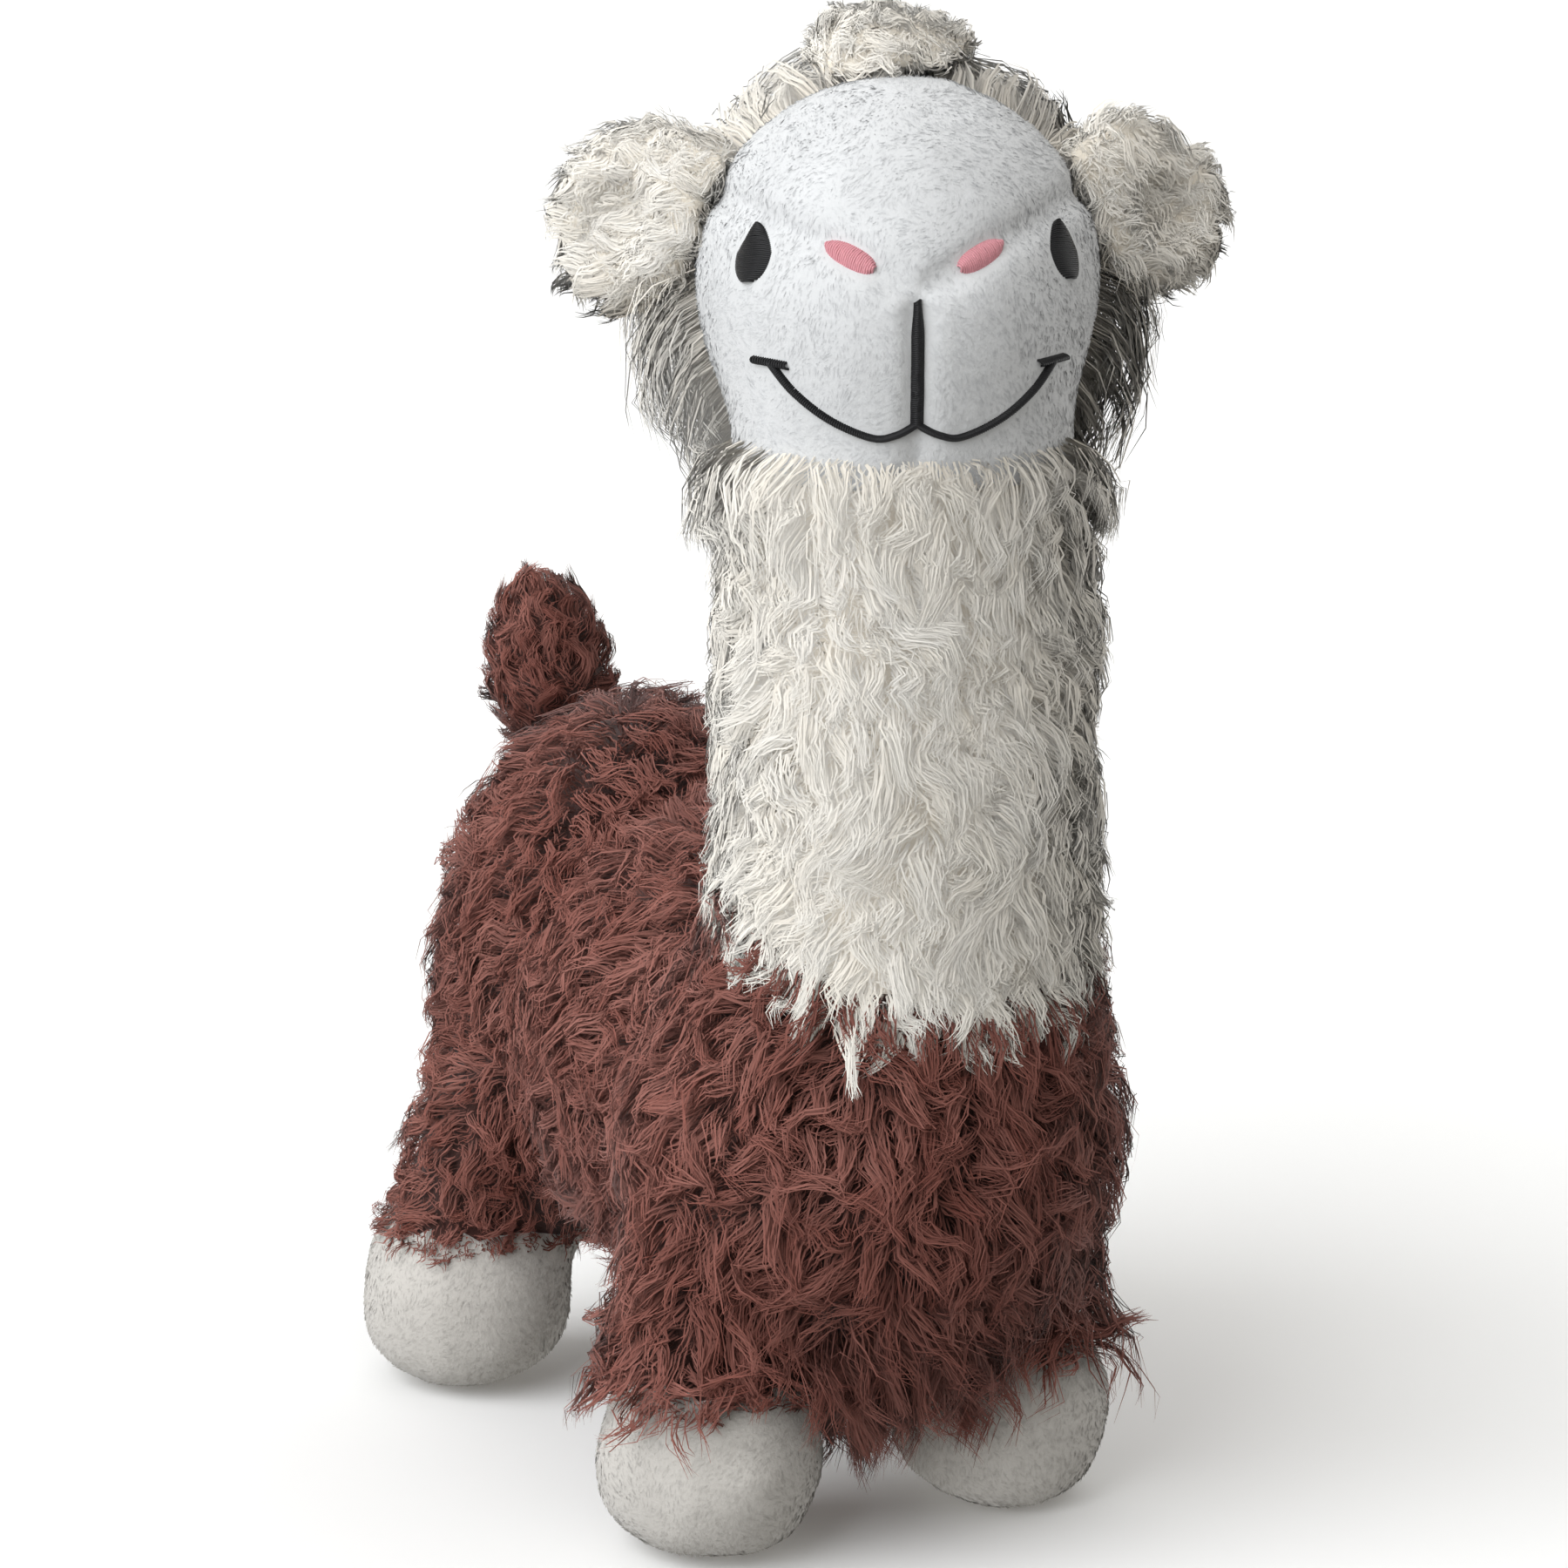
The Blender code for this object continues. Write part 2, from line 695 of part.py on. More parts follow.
def facing_viewer(flat):
    """Turns each face of a flat shape to look towards -Y."""
    for face in flat.faces:
        face.normal_update()
        if face.normal.y > 0:
            face.normal_flip()
    return flat


def face_embroidery(plush):
    """Eyes, nostrils, the line under the nose and the smile."""
    centre = Vector((0, 0, HEAD_CENTRE_Z))
    for side, sign in (("right", -1), ("left", 1)):
        eye = centre + Vector((sign * EYE_SPREAD / 2, 0, EYE_RISE))
        flat = flat_oval(eye, (EYE_WIDTH, EYE_HEIGHT), 0, point=EYE_POINT)
        embroidered(f"eye_{side}", facing_viewer(flat), plush, BLACK_THREAD)
        across = NOSTRIL_SPREAD / 2
        rise = across * math.tan(NOSE_SEAM_SLOPE) - NOSE_SEAM_DROP
        nostril = centre + Vector((sign * across, 0, rise))
        size = (NOSTRIL_WIDTH, NOSTRIL_HEIGHT)
        flat = flat_oval(nostril, size, -sign * NOSE_SEAM_SLOPE, rings=2, segments=12)
        embroidered(f"nostril_{side}", facing_viewer(flat), plush, PINK_THREAD)
        embroidered(f"smile_{side}", facing_viewer(smile(centre, sign)), plush, BLACK_THREAD)
    steps = 8
    span = MOUTH_LINE_BOTTOM - MOUTH_LINE_TOP
    places = [
        centre + Vector((0, 0, MOUTH_LINE_TOP + span * step / steps)) for step in range(steps + 1)
    ]
    growth = (MOUTH_LINE_WIDTH - MOUTH_LINE_TOP_WIDTH) / 2
    widths = [MOUTH_LINE_TOP_WIDTH + growth * min(step, 2) for step in range(steps + 1)]
    embroidered("mouth_line", facing_viewer(flat_stroke(places, widths)), plush, BLACK_THREAD)


def smile(centre, sign):
    """One half of the smile, from beside the foot of the mouth line to its tick in the cheek."""
    steps = 12
    start_x = MOUTH_LINE_WIDTH / 2 + SMILE_THREAD
    reach = SMILE_WIDTH / 2 - start_x
    places, widths = [], []
    for step in range(steps + 1):
        share = step / steps
        across = start_x + reach * math.sin(share * math.pi / 2)
        dip = SMILE_DIP * math.sin(min(1, share / SMILE_DIP_END) * math.pi)
        rise = SMILE_RISE * (1 - math.cos(share * math.pi / 2))
        place = Vector((sign * across, 0, MOUTH_LINE_BOTTOM - dip + rise))
        places.append(centre + place)
        widths.append(SMILE_TICK if step >= steps - 1 else SMILE_THREAD)
    return flat_stroke(places, widths)


def squeaker_shape(margin):
    """The squeaker, a short bellows turned about the Y axis, this much larger all round."""
    end = SQUEAKER_HEIGHT / 2 + margin
    rim = SQUEAKER_HEIGHT / 2 - SQUEAKER_RIM
    waist = SQUEAKER_WAIST / 2
    radius = SQUEAKER_RADIUS + margin
    profile = [
        (0, -end),
        (SQUEAKER_END_RADIUS + margin, -end),
        (radius, -rim),
        (radius, -waist),
        (SQUEAKER_WAIST_RADIUS + margin, 0),
        (radius, waist),
        (radius, rim),
        (SQUEAKER_END_RADIUS + margin, end),
        (0, end),
    ]
    shape = bmesh.new()
    verts = [shape.verts.new((x, y, 0)) for x, y in profile]
    edges = [shape.edges.new(pair) for pair in zip(verts, verts[1:])]
    bmesh.ops.spin(
        shape,
        geom=[*verts, *edges],
        cent=(0, 0, 0),
        axis=(0, 1, 0),
        angle=2 * math.pi,
        steps=20,
        use_merge=True,
    )
    bmesh.ops.remove_doubles(shape, verts=shape.verts, dist=1e-5)
    bmesh.ops.recalc_face_normals(shape, faces=shape.faces)
    middle_z = (CHEST_CENTRE_Z + RUMP_CENTRE_Z) / 2
    bmesh.ops.translate(shape, verts=shape.verts, vec=(0, FILLING_SPLIT_Y, middle_z))
    return shape


def filling(form, directions):
    """The fibre filling, in three batches, and the squeaker between the two in the body."""
    inner = raised_copy(form, directions, lambda vert: -FILLING_EASE)
    ratio = min(1.0, FILLING_TRIANGLES / len(inner.faces))
    inner = with_modifiers(inner, ("DECIMATE", {"ratio": ratio}))
    seam, upward = neck_seam()
    split = Vector((0, FILLING_SPLIT_Y, 0))
    back = Vector((0, 1, 0))
    half_gap = SEAT_GAP / 2
    pocket = squeaker_shape(SEAT_GAP)
    cuts = {
        "filling_neck": [(seam + upward * half_gap, -upward)],
        "filling_chest": [(seam - upward * half_gap, upward), (split - back * half_gap, back)],
        "filling_rump": [(seam - upward * half_gap, upward), (split + back * half_gap, -back)],
    }
    for name, planes in cuts.items():
        shape = inner.copy()
        for point, normal in planes:
            cutter = slab(point, normal)
            shape = without(shape, cutter)
            cutter.free()
        if name != "filling_neck":
            shape = without(shape, pocket)
        mesh_object(name, shape, FILLING_FIBRE)
    inner.free()
    pocket.free()
    mesh_object("squeaker", squeaker_shape(0), SQUEAKER_PLASTIC)


def posed(place):
    """Where a place of the straight toy lies once its neck is turned, its head raised and it leans."""
    raised = HEAD_RAISE * smooth_share(place.z, RAISE_START_Z, RAISE_END_Z)
    pivot = head_centre()
    moved = Matrix.Rotation(-raised, 3, "X") @ (place - pivot) + pivot
    turned = HEAD_TURN * smooth_share(place.z, TURN_START_Z, TURN_END_Z)
    turned *= 1 - smooth_share(place.y, TURN_BACK_START_Y, TURN_BACK_END_Y)
    axis = Vector((0, TURN_AXIS_Y, 0))
    moved = Matrix.Rotation(turned, 3, "Z") @ (moved - axis) + axis
    return moved + Vector((LEAN * smooth_share(place.z, 0, LEAN_END_Z), 0, 0))


def pose_and_stand(pieces):
    """Turns the head, then puts the middle of the toy's footprint at the origin."""
    for piece in pieces:
        for vert in piece.data.vertices:
            vert.co = posed(vert.co)
    corners = [vert.co for piece in pieces for vert in piece.data.vertices]
    lows = [min(corner[axis] for corner in corners) for axis in range(3)]
    highs = [max(corner[axis] for corner in corners) for axis in range(3)]
    shift = Vector(((lows[0] + highs[0]) / 2, (lows[1] + highs[1]) / 2, lows[2]))
    holder = bpy.data.objects.new("alpaca_toy", None)
    bpy.context.scene.collection.objects.link(holder)
    for piece in pieces:
        middle = sum((vert.co for vert in piece.data.vertices), Vector())
        middle /= len(piece.data.vertices)
        piece.data.transform(Matrix.Translation(-middle))
        piece.location = middle - shift
        piece.parent = holder


def main():
    clear_scene()
    form = stuffed_form()
    cut_seams(form)
    form.normal_update()
    directions = pile_directions(form)
    heights = pile_heights(form, directions)
    cover_panels(form, directions, heights)
    skin = over_the_skin(form, directions, heights)
    ears(skin)
    tail(skin)
    topknot(skin)
    skin.free()
    plush = raised_copy(form, directions, lambda vert: SHORT_PILE + 2 * SEAT_GAP)
    face_embroidery(BVHTree.FromBMesh(plush))
    plush.free()
    filling(form, directions)
    form.free()
    pose_and_stand([obj for obj in bpy.data.objects if obj.type == "MESH"])


main()
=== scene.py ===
"""Dresses the plush alpaca dog toy: its skin, long pile, plush face and feet, and embroidery."""

import functools
import json
import math

import bmesh
import bpy
import numpy as np
from bpy.props import FloatProperty, FloatVectorProperty, IntProperty, PointerProperty
from bpy.types import Operator, Panel, PropertyGroup
from mathutils import Matrix, Vector, noise
from mathutils.bvhtree import BVHTree

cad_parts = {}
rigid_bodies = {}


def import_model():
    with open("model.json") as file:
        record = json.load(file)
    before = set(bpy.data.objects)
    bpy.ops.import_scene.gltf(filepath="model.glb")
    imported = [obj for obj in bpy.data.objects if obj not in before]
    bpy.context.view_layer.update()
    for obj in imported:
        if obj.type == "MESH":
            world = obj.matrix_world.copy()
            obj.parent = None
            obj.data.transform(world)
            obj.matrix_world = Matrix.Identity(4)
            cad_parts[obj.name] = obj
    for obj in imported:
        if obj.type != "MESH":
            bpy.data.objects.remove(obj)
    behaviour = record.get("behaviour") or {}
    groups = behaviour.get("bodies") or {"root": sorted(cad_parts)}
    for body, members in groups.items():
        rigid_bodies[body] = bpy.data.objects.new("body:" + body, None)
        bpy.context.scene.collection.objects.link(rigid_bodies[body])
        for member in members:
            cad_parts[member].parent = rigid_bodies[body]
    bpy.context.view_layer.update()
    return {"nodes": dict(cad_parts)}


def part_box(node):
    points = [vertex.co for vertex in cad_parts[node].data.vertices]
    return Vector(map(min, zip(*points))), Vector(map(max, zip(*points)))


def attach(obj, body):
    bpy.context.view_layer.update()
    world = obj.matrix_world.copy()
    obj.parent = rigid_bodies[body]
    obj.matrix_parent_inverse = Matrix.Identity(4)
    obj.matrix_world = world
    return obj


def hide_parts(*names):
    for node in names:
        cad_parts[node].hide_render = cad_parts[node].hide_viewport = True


bl_info = {
    "name": "Plush alpaca dog toy",
    "version": (1, 0, 0),
    "blender": (4, 5, 0),
    "location": "3D View > Sidebar > Alpaca Toy",
    "description": "Gives the alpaca toy its skin, long pile, plush face and feet, and embroidery",
    "category": "Object",
}

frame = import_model()

# Panels of the sewn skin
BROWN_PANELS = ("body_panel_left", "body_panel_right", "belly_gusset")
CREAM_PANELS = ("neck_panel_left", "neck_panel_right")
FACE_PANELS = ("forehead_panel", "cheek_panel_left", "cheek_panel_right")
FEET = ("foot_front_left", "foot_front_right", "foot_rear_left", "foot_rear_right")
FILLINGS = ("filling_neck", "filling_chest", "filling_rump")
SIDES = {"right": -1, "left": 1}
SKIN_PANELS = BROWN_PANELS + CREAM_PANELS + FACE_PANELS + FEET

# The skin over the filling, in metres
FILLING_EASE = 0.0012
SKIN_VOXEL = 0.0038
PLUSH_RISE = 0.0026
SKIN_WALL = 0.0014
PLUSH_WALL = 0.0016
PUFF_LIMIT = 0.0022
SEAM_REACH = 0.0030
LAP_DEPTH = 0.0006
CREASE_WIDTH = 0.0028
CREASE_DEPTH = 0.0015
LUMP_SIZE = 0.014
LUMP_HEIGHT = 0.0009
EAR_VOXEL = 0.0015
TUFT_VOXEL = 0.0018

# The cloth that puffs the skin
CLOTH_STEPS = 20
CLOTH = {
    "vertex_group_mass": "seams",
    "use_pressure": True,
    "uniform_pressure_force": 4,
    "tension_stiffness": 12,
    "compression_stiffness": 12,
    "shear_stiffness": 6,
    "bending_stiffness": 1.5,
    "mass": 0.25,
    "quality": 5,
}

# How far strands are lit as the cloth under them is, as a share
STRAND_SOFTNESS = 0.78
NAP_SOFTNESS = 0.9

# Room round the pile, in metres
FLOOR_EASE = 0.0002
NAP_CLEARANCE = 0.0006
NAP_REACH = 0.0014

# The floor and the backdrop, in metres
FLOOR_REACH = 6.0
BACKDROP_RADIUS = 5.9
BACKDROP_HEIGHT = 8.0

# Directions of the head
HEAD_TURN = math.radians(-24)
HEAD_RAISE = math.radians(10)

# The face's drawing, in metres
EYE_WIDTH = 0.0056
EYE_HEIGHT = 0.0100
EYE_POINT = 0.45
EYE_LEAN = 0.22
NOSE_SLOPE = math.radians(30)
NOSTRIL_WIDTH = 0.0088
NOSTRIL_HEIGHT = 0.0038
MOUTH_LENGTH = 0.0205
MOUTH_WIDTH = 0.0021
SMILE_POINTS = (
    (0.0, 0.0),
    (0.0036, -0.0019),
    (0.0076, -0.0023),
    (0.0145, 0.0008),
    (0.0203, 0.0056),
    (0.0240, 0.0106),
)
SMILE_STEPS = 20
SMILE_WIDTH = 0.0009
TICK_STEP = (0.00036, 0.00008)
TICK_STITCHES = 7
MOUTH_STEPS = 60
STITCH_PITCH = 0.00036
STITCH_LEAN = 0.0003
STITCH_POINTS = 5

# The pile strays in the same way on each run
SWIRL_SEED = 11
noise.seed_set(SWIRL_SEED)


# Settings


class CoatSettings(PropertyGroup):
    """The brown coat of the body."""

    length: FloatProperty(name="Length", description="Length of a strand", default=0.0112, unit="LENGTH")
    width: FloatProperty(name="Width", description="Width of a strand at its root", default=0.00036,
                         unit="LENGTH")
    density: FloatProperty(name="Density", description="Strands on a square metre", default=1000000)
    clump: FloatProperty(name="Clump", description="Room between locks", default=0.0042, unit="LENGTH")
    curl: FloatProperty(name="Curl", description="Radius of the curl", default=0.0010, unit="LENGTH")
    flow: FloatProperty(name="Flow", description="How far the locks stray", default=0.0040, unit="LENGTH")
    # Painted shade: the root colour darkens the strands deep in the coat, where shade falls between the
    # locks.
    root_shade_colour: FloatVectorProperty(name="Root colour", description="Colour deep in the coat",
                                     subtype="COLOR", default=(0.045, 0.012, 0.008))
    tip_colour: FloatVectorProperty(name="Tip colour", description="Colour of the strands' tips",
                                    subtype="COLOR", default=(0.228, 0.070, 0.051))
    pale_colour: FloatVectorProperty(name="Pale colour", description="Colour of the palest locks",
                                     subtype="COLOR", default=(0.37, 0.16, 0.13))


class FleeceSettings(PropertyGroup):
    """The cream fleece of the neck, the back of the head and the ears."""

    length: FloatProperty(name="Length", description="Length of a strand", default=0.0150, unit="LENGTH")
    width: FloatProperty(name="Width", description="Width of a strand at its root", default=0.00042,
                         unit="LENGTH")
    density: FloatProperty(name="Density", description="Strands on a square metre", default=1480000)
    clump: FloatProperty(name="Clump", description="Room between locks", default=0.0048, unit="LENGTH")
    curl: FloatProperty(name="Curl", description="Radius of the wave", default=0.0010, unit="LENGTH")
    flow: FloatProperty(name="Flow", description="How far the locks stray", default=0.0050, unit="LENGTH")
    # Painted shade: the root colour is a warmer cream deep in the fleece, where shade falls between the
    # locks.
    root_shade_colour: FloatVectorProperty(name="Root colour", description="Colour deep in the fleece",
                                     subtype="COLOR", default=(0.84, 0.77, 0.66))
    tip_colour: FloatVectorProperty(name="Tip colour", description="Colour of the strands' tips",
                                    subtype="COLOR", default=(0.80, 0.765, 0.70))
    pale_colour: FloatVectorProperty(name="Pale colour", description="Colour of the palest locks",
                                     subtype="COLOR", default=(0.88, 0.86, 0.82))


class PlushSettings(PropertyGroup):
    """The white short plush of the face and the feet."""

    length: FloatProperty(name="Length", description="Length of a fibre", default=0.0010, unit="LENGTH")
    width: FloatProperty(name="Width", description="Width of a fibre", default=0.00018, unit="LENGTH")
    density: FloatProperty(name="Density", description="Fibres on a square metre", default=2100000)
    colour: FloatVectorProperty(name="Colour", description="Colour of the plush", subtype="COLOR",
                                default=(0.66, 0.67, 0.68))
    # Painted shade: the feet's plush is the face's plush made darker, for the feet's place low under the
    # body, and a little warmer.
    foot_shade_colour: FloatVectorProperty(name="Foot colour", description="Colour of the plush of the feet",
                                     subtype="COLOR", default=(0.56, 0.535, 0.50))


class ThreadSettings(PropertyGroup):
    """The embroidery of the eyes, the nose and the mouth."""

    radius: FloatProperty(name="Radius", description="Radius of a thread", default=0.00024, unit="LENGTH")
    arch: FloatProperty(name="Arch", description="Height of a stitch over the plush", default=0.0009,
                        unit="LENGTH")
    black: FloatVectorProperty(name="Black", description="Colour of the black thread", subtype="COLOR",
                               default=(0.004, 0.004, 0.005))
    pink: FloatVectorProperty(name="Pink", description="Colour of the pink thread", subtype="COLOR",
                              default=(0.52, 0.23, 0.26))


class StageSettings(PropertyGroup):
    """The camera, the floor and the lights."""

    azimuth: FloatProperty(name="Azimuth", description="Where the camera stands round the toy",
                           default=math.radians(-27.5), subtype="ANGLE")
    elevation: FloatProperty(name="Elevation", description="How far the camera looks down",
                             default=math.radians(13.7), subtype="ANGLE")
    distance: FloatProperty(name="Distance", description="From the camera to the toy", default=1.135,
                            unit="LENGTH")
    field: FloatProperty(name="Field of view", description="The camera's field of view",
                         default=math.radians(14.5), subtype="ANGLE")
    target: FloatVectorProperty(name="Target", description="The point that the camera looks at",
                                subtype="XYZ", default=(-0.0024, -0.0126, 0.1282))
    key: FloatProperty(name="Key light", description="Strength of the main light", default=3.1)
    seed: IntProperty(name="Seed", description="Seed of everything strewn at random", default=11)


# Meshes


def placed(name, data):
    """A new object in the scene."""
    obj = bpy.data.objects.new(name, data)
    bpy.context.scene.collection.objects.link(obj)
    return obj


def as_mesh(shape, name):
    """A mesh of a bmesh, which is freed."""
    mesh = bpy.data.meshes.new(name)
    shape.to_mesh(mesh)
    shape.free()
    return mesh


def as_bmesh(mesh):
    """A bmesh of a mesh, which is removed."""
    shape = bmesh.new()
    shape.from_mesh(mesh)
    bpy.data.meshes.remove(mesh)
    return shape


def mesh_piece(name, mesh, material):
    """A finished piece of the toy, from a mesh in the toy's frame."""
    mesh.materials.clear()
    mesh.materials.append(material)
    mesh.name = name
    mesh.shade_smooth()
    obj = placed(name, mesh)
    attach(obj, "root")
    return obj


def padded_piece(name, mesh, material, slot, fill, *solids):
    """A padded piece of the toy, which stands for these solids."""
    piece = mesh_piece(name, mesh, material)
    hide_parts(*solids)


def merged_solids(names):
    """One bmesh of copies of these solids, with their loose triangles joined up."""
    shape = bmesh.new()
    for name in names:
        shape.from_mesh(frame["nodes"][name].data)
    bmesh.ops.remove_doubles(shape, verts=shape.verts, dist=1e-6)
    return shape


def with_modifiers(shape, *settings):
    """A mesh after modifiers, each given as (type, {setting: value}). The bmesh is freed."""
    mesh = as_mesh(shape, "work")
    helper = placed("work", mesh)
    for kind, values in settings:
        modifier = helper.modifiers.new(kind.lower(), kind)
        for key, value in values.items():
            setattr(modifier, key, value)
    result = evaluated_copy(helper)
    bpy.data.objects.remove(helper)
    bpy.data.meshes.remove(mesh)
    return result


def evaluated_copy(obj):
    """A plain mesh of an object as its modifiers leave it."""
    bpy.context.view_layer.update()
    graph = bpy.context.evaluated_depsgraph_get()
    return bpy.data.meshes.new_from_object(obj.evaluated_get(graph))


def through_tree(name, mesh, tree, values):
    """What a node tree makes of a mesh, with the tree's inputs given by their names."""
    obj = placed(name, mesh)
    modifier = obj.modifiers.new("tree", "NODES")
    modifier.node_group = tree
    inputs = [item for item in tree.interface.items_tree if item.in_out == "INPUT"]
    sockets = {item.name: item.identifier for item in inputs}
    for key, value in values.items():
        modifier[sockets[key]] = value
    result = evaluated_copy(obj)
    bpy.data.objects.remove(obj)
    return result


def islands(shape):
    """The groups of joined vertices of a bmesh."""
    left = set(shape.verts)
    while left:
        start = next(vert for vert in shape.verts if vert in left)
        left.discard(start)
        group, edge_of_group = [start], [start]
        while edge_of_group:
            near = [edge.other_vert(vert) for vert in edge_of_group for edge in vert.link_edges]
            edge_of_group = [vert for vert in dict.fromkeys(near) if vert in left]
            left.difference_update(edge_of_group)
            group += edge_of_group
        yield group


def keep_largest_island(shape):
    """Drops all but the largest group of joined vertices."""
    groups = sorted(islands(shape), key=len)
    for group in groups[:-1]:
        bmesh.ops.delete(shape, geom=group, context="VERTS")


def pushed_out(shape, distance):
    """Moves each vertex along its normal, by a distance or by what a function gives for it."""
    shape.normal_update()
    normals = [vert.normal.copy() for vert in shape.verts]
    moves = [distance(vert) if callable(distance) else distance for vert in shape.verts]
    for vert, normal, move in zip(shape.verts, normals, moves):
        vert.co += normal * move


@functools.cache
def panel_tree(name):
    """A search tree over the surface of one panel of the skin."""
    shape = merged_solids([name])
    tree = BVHTree.FromBMesh(shape)
    shape.free()
    return tree


def nearest_panels(place, names=SKIN_PANELS):
    """The panels by distance from a place, the nearest first, each as (distance, name)."""
    return sorted((panel_tree(name).find_nearest(place)[3], name) for name in names)


@functools.cache
def box_of(name):
    """The lowest and the highest corner of a solid."""
    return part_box(name)


# The stuffed skin


def seam_weight(place):
    """1 on a seam of the skin, and 0 away from every seam."""
    (first, _), (second, _) = nearest_panels(place)[:2]
    return max(0.0, 1 - (second - first) / SEAM_REACH)


def puffed(shape):
    """The skin pressed out by its filling, held in at the seams, by cloth simulation."""
    starts = [vert.co.copy() for vert in shape.verts]
    weights = [seam_weight(place) for place in starts]
    mesh = bpy.data.meshes.new("puffed_skin")
    shape.to_mesh(mesh)
    obj = placed("puffed_skin", mesh)
    pins = obj.vertex_groups.new(name="seams")
    for index, weight in enumerate(weights):
        if weight > 0:
            pins.add([index], weight, "REPLACE")
    cloth = obj.modifiers.new("filling", "CLOTH")
    for key, value in CLOTH.items():
        setattr(cloth.settings, key, value)
    cloth.settings.effector_weights.gravity = 0
    cloth.collision_settings.use_collision = False
    for step in range(1, CLOTH_STEPS + 1):
        bpy.context.scene.frame_set(step)
    result = evaluated_copy(obj)
    bpy.context.scene.frame_set(1)
    for vert, start, done in zip(shape.verts, starts, result.vertices):
        move = done.co - start
        if move.length > PUFF_LIMIT:
            move *= PUFF_LIMIT / move.length
        vert.co = start + move
    bpy.data.objects.remove(obj)
    bpy.data.meshes.remove(mesh)
    bpy.data.meshes.remove(result)


def stuffed_skin():
    """The whole skin of the toy as one closed surface, a little proud of the filling."""
    kept = bpy.data.meshes.get("stuffed_skin")
    if kept:
        return kept
    shape = as_bmesh(with_modifiers(
        merged_solids(FILLINGS),
        ("REMESH", {"mode": "VOXEL", "voxel_size": SKIN_VOXEL}),
        ("SMOOTH", {"factor": 0.5, "iterations": 5}),
    ))
    keep_largest_island(shape)
    pushed_out(shape, FILLING_EASE)
    puffed(shape)
    skin = with_modifiers(shape, ("SUBSURF", {"levels": 1, "render_levels": 1}))
    shape = as_bmesh(skin)
    pushed_out(shape, PLUSH_RISE)
    owner = shape.faces.layers.int.new("panel")
    for vert in shape.verts:
        vert.co.z = max(vert.co.z, 0)
    for face in shape.faces:
        face[owner] = SKIN_PANELS.index(nearest_panels(face.calc_center_median())[0][1])
    mesh = as_mesh(shape, "stuffed_skin")
    mesh.use_fake_user = True
    return mesh


def skin_part(names, rings=0):
    """The faces of the skin over these panels, and this many rings of faces round them."""
    shape = bmesh.new()
    shape.from_mesh(stuffed_skin())
    owner = shape.faces.layers.int["panel"]
    chosen = {face for face in shape.faces if SKIN_PANELS[face[owner]] in names}
    for _ in range(rings):
        chosen |= {other for face in chosen for vert in face.verts for other in vert.link_faces}
    others = [face for face in shape.faces if face not in chosen]
    bmesh.ops.delete(shape, geom=others, context="FACES")
    return shape


def lapped_backing(name):
    """The closed backing of one panel of pile, sunk so that the plush beside it laps over it."""
    shape = skin_part([name], 1)
    pushed_out(shape, -LAP_DEPTH)
    return walled(shape)


def walled(shape, wall=SKIN_WALL):
    """A closed mesh of an open surface, with a wall behind it."""
    return with_modifiers(shape, ("SOLIDIFY", {"thickness": wall, "offset": -1.0}))


def padded_core(names, voxel):
    """A rounded closed mesh over these solids."""
    return with_modifiers(
        merged_solids(names),
        ("REMESH", {"mode": "VOXEL", "voxel_size": voxel}),
        ("SMOOTH", {"factor": 0.5, "iterations": 6}),
    )


# Embroidery


def oval_rows(centre, across, tall, width, height, point):
    """The two ends of each satin stitch that fills an oval, drawn in at its top by point."""
    rows = []
    count = max(3, round(height / STITCH_PITCH))
    for step in range(count + 1):
        share = 2 * (step + 0.5) / (count + 1) - 1
        half = width / 2 * (1 - abs(share) ** 2.3) ** (1 / 2.3) * (1 - point * max(0.0, share))
        middle = centre + tall * share * height / 2
        rows.append((middle - across * half, middle + across * half))
    return rows


def stroke_rows(spine, widths, across, upward):
    """The two ends of each satin stitch that crosses a line."""
    outward = across.cross(upward)
    rows = []
    for index, place in enumerate(spine):
        before, after = spine[max(index - 1, 0)], spine[min(index + 1, len(spine) - 1)]
        along = (after - before).normalized()
        half = along.cross(outward).normalized() * widths[index] / 2
        lean = along * STITCH_LEAN
        rows.append((place - half - lean, place + half + lean))
    return rows


def mouth_ends(upward):
    """The top and the foot of the line under the nose."""
    middle = middle_of("mouth_line")
    return middle + upward * MOUTH_LENGTH / 2, middle - upward * MOUTH_LENGTH / 2


def smile_path(foot, outward, upward):
    """Half of the smile: a line from the foot of the mouth's line to its tick in the cheek."""
    spine, widths = [], []
    points = [Vector(point) for point in SMILE_POINTS]
    points = [points[0], *points, points[-1]]
    for before, start, end, after in zip(points, points[1:], points[2:], points[3:]):
        first_pull = (end - before) / 2
        last_pull = (after - start) / 2
        for step in range(SMILE_STEPS):
            share = step / SMILE_STEPS
            square, cube = share ** 2, share ** 3
            point = (
                start * (2 * cube - 3 * square + 1) + first_pull * (cube - 2 * square + share)
                + end * (3 * square - 2 * cube) + last_pull * (cube - square)
            )
            spine.append(foot + outward * point.x + upward * point.y)
            widths.append(SMILE_WIDTH)
    end = foot + outward * points[-1].x + upward * points[-1].y
    tick = outward * TICK_STEP[0] + upward * TICK_STEP[1]
    for step in range(-TICK_STITCHES, TICK_STITCHES + 1):
        spine.append(end + tick * step)
        widths.append(SMILE_WIDTH * 1.3)
    return spine, widths


def on_surface(place, surface):
    """The point of the face in front of this place, and the way that it faces."""
    _, backward, _ = head_axes()
    found, normal, _, _ = surface.ray_cast(place - backward * 0.05, backward)
    if found is None:
        found, normal, _, _ = surface.find_nearest(place)
    return found, normal


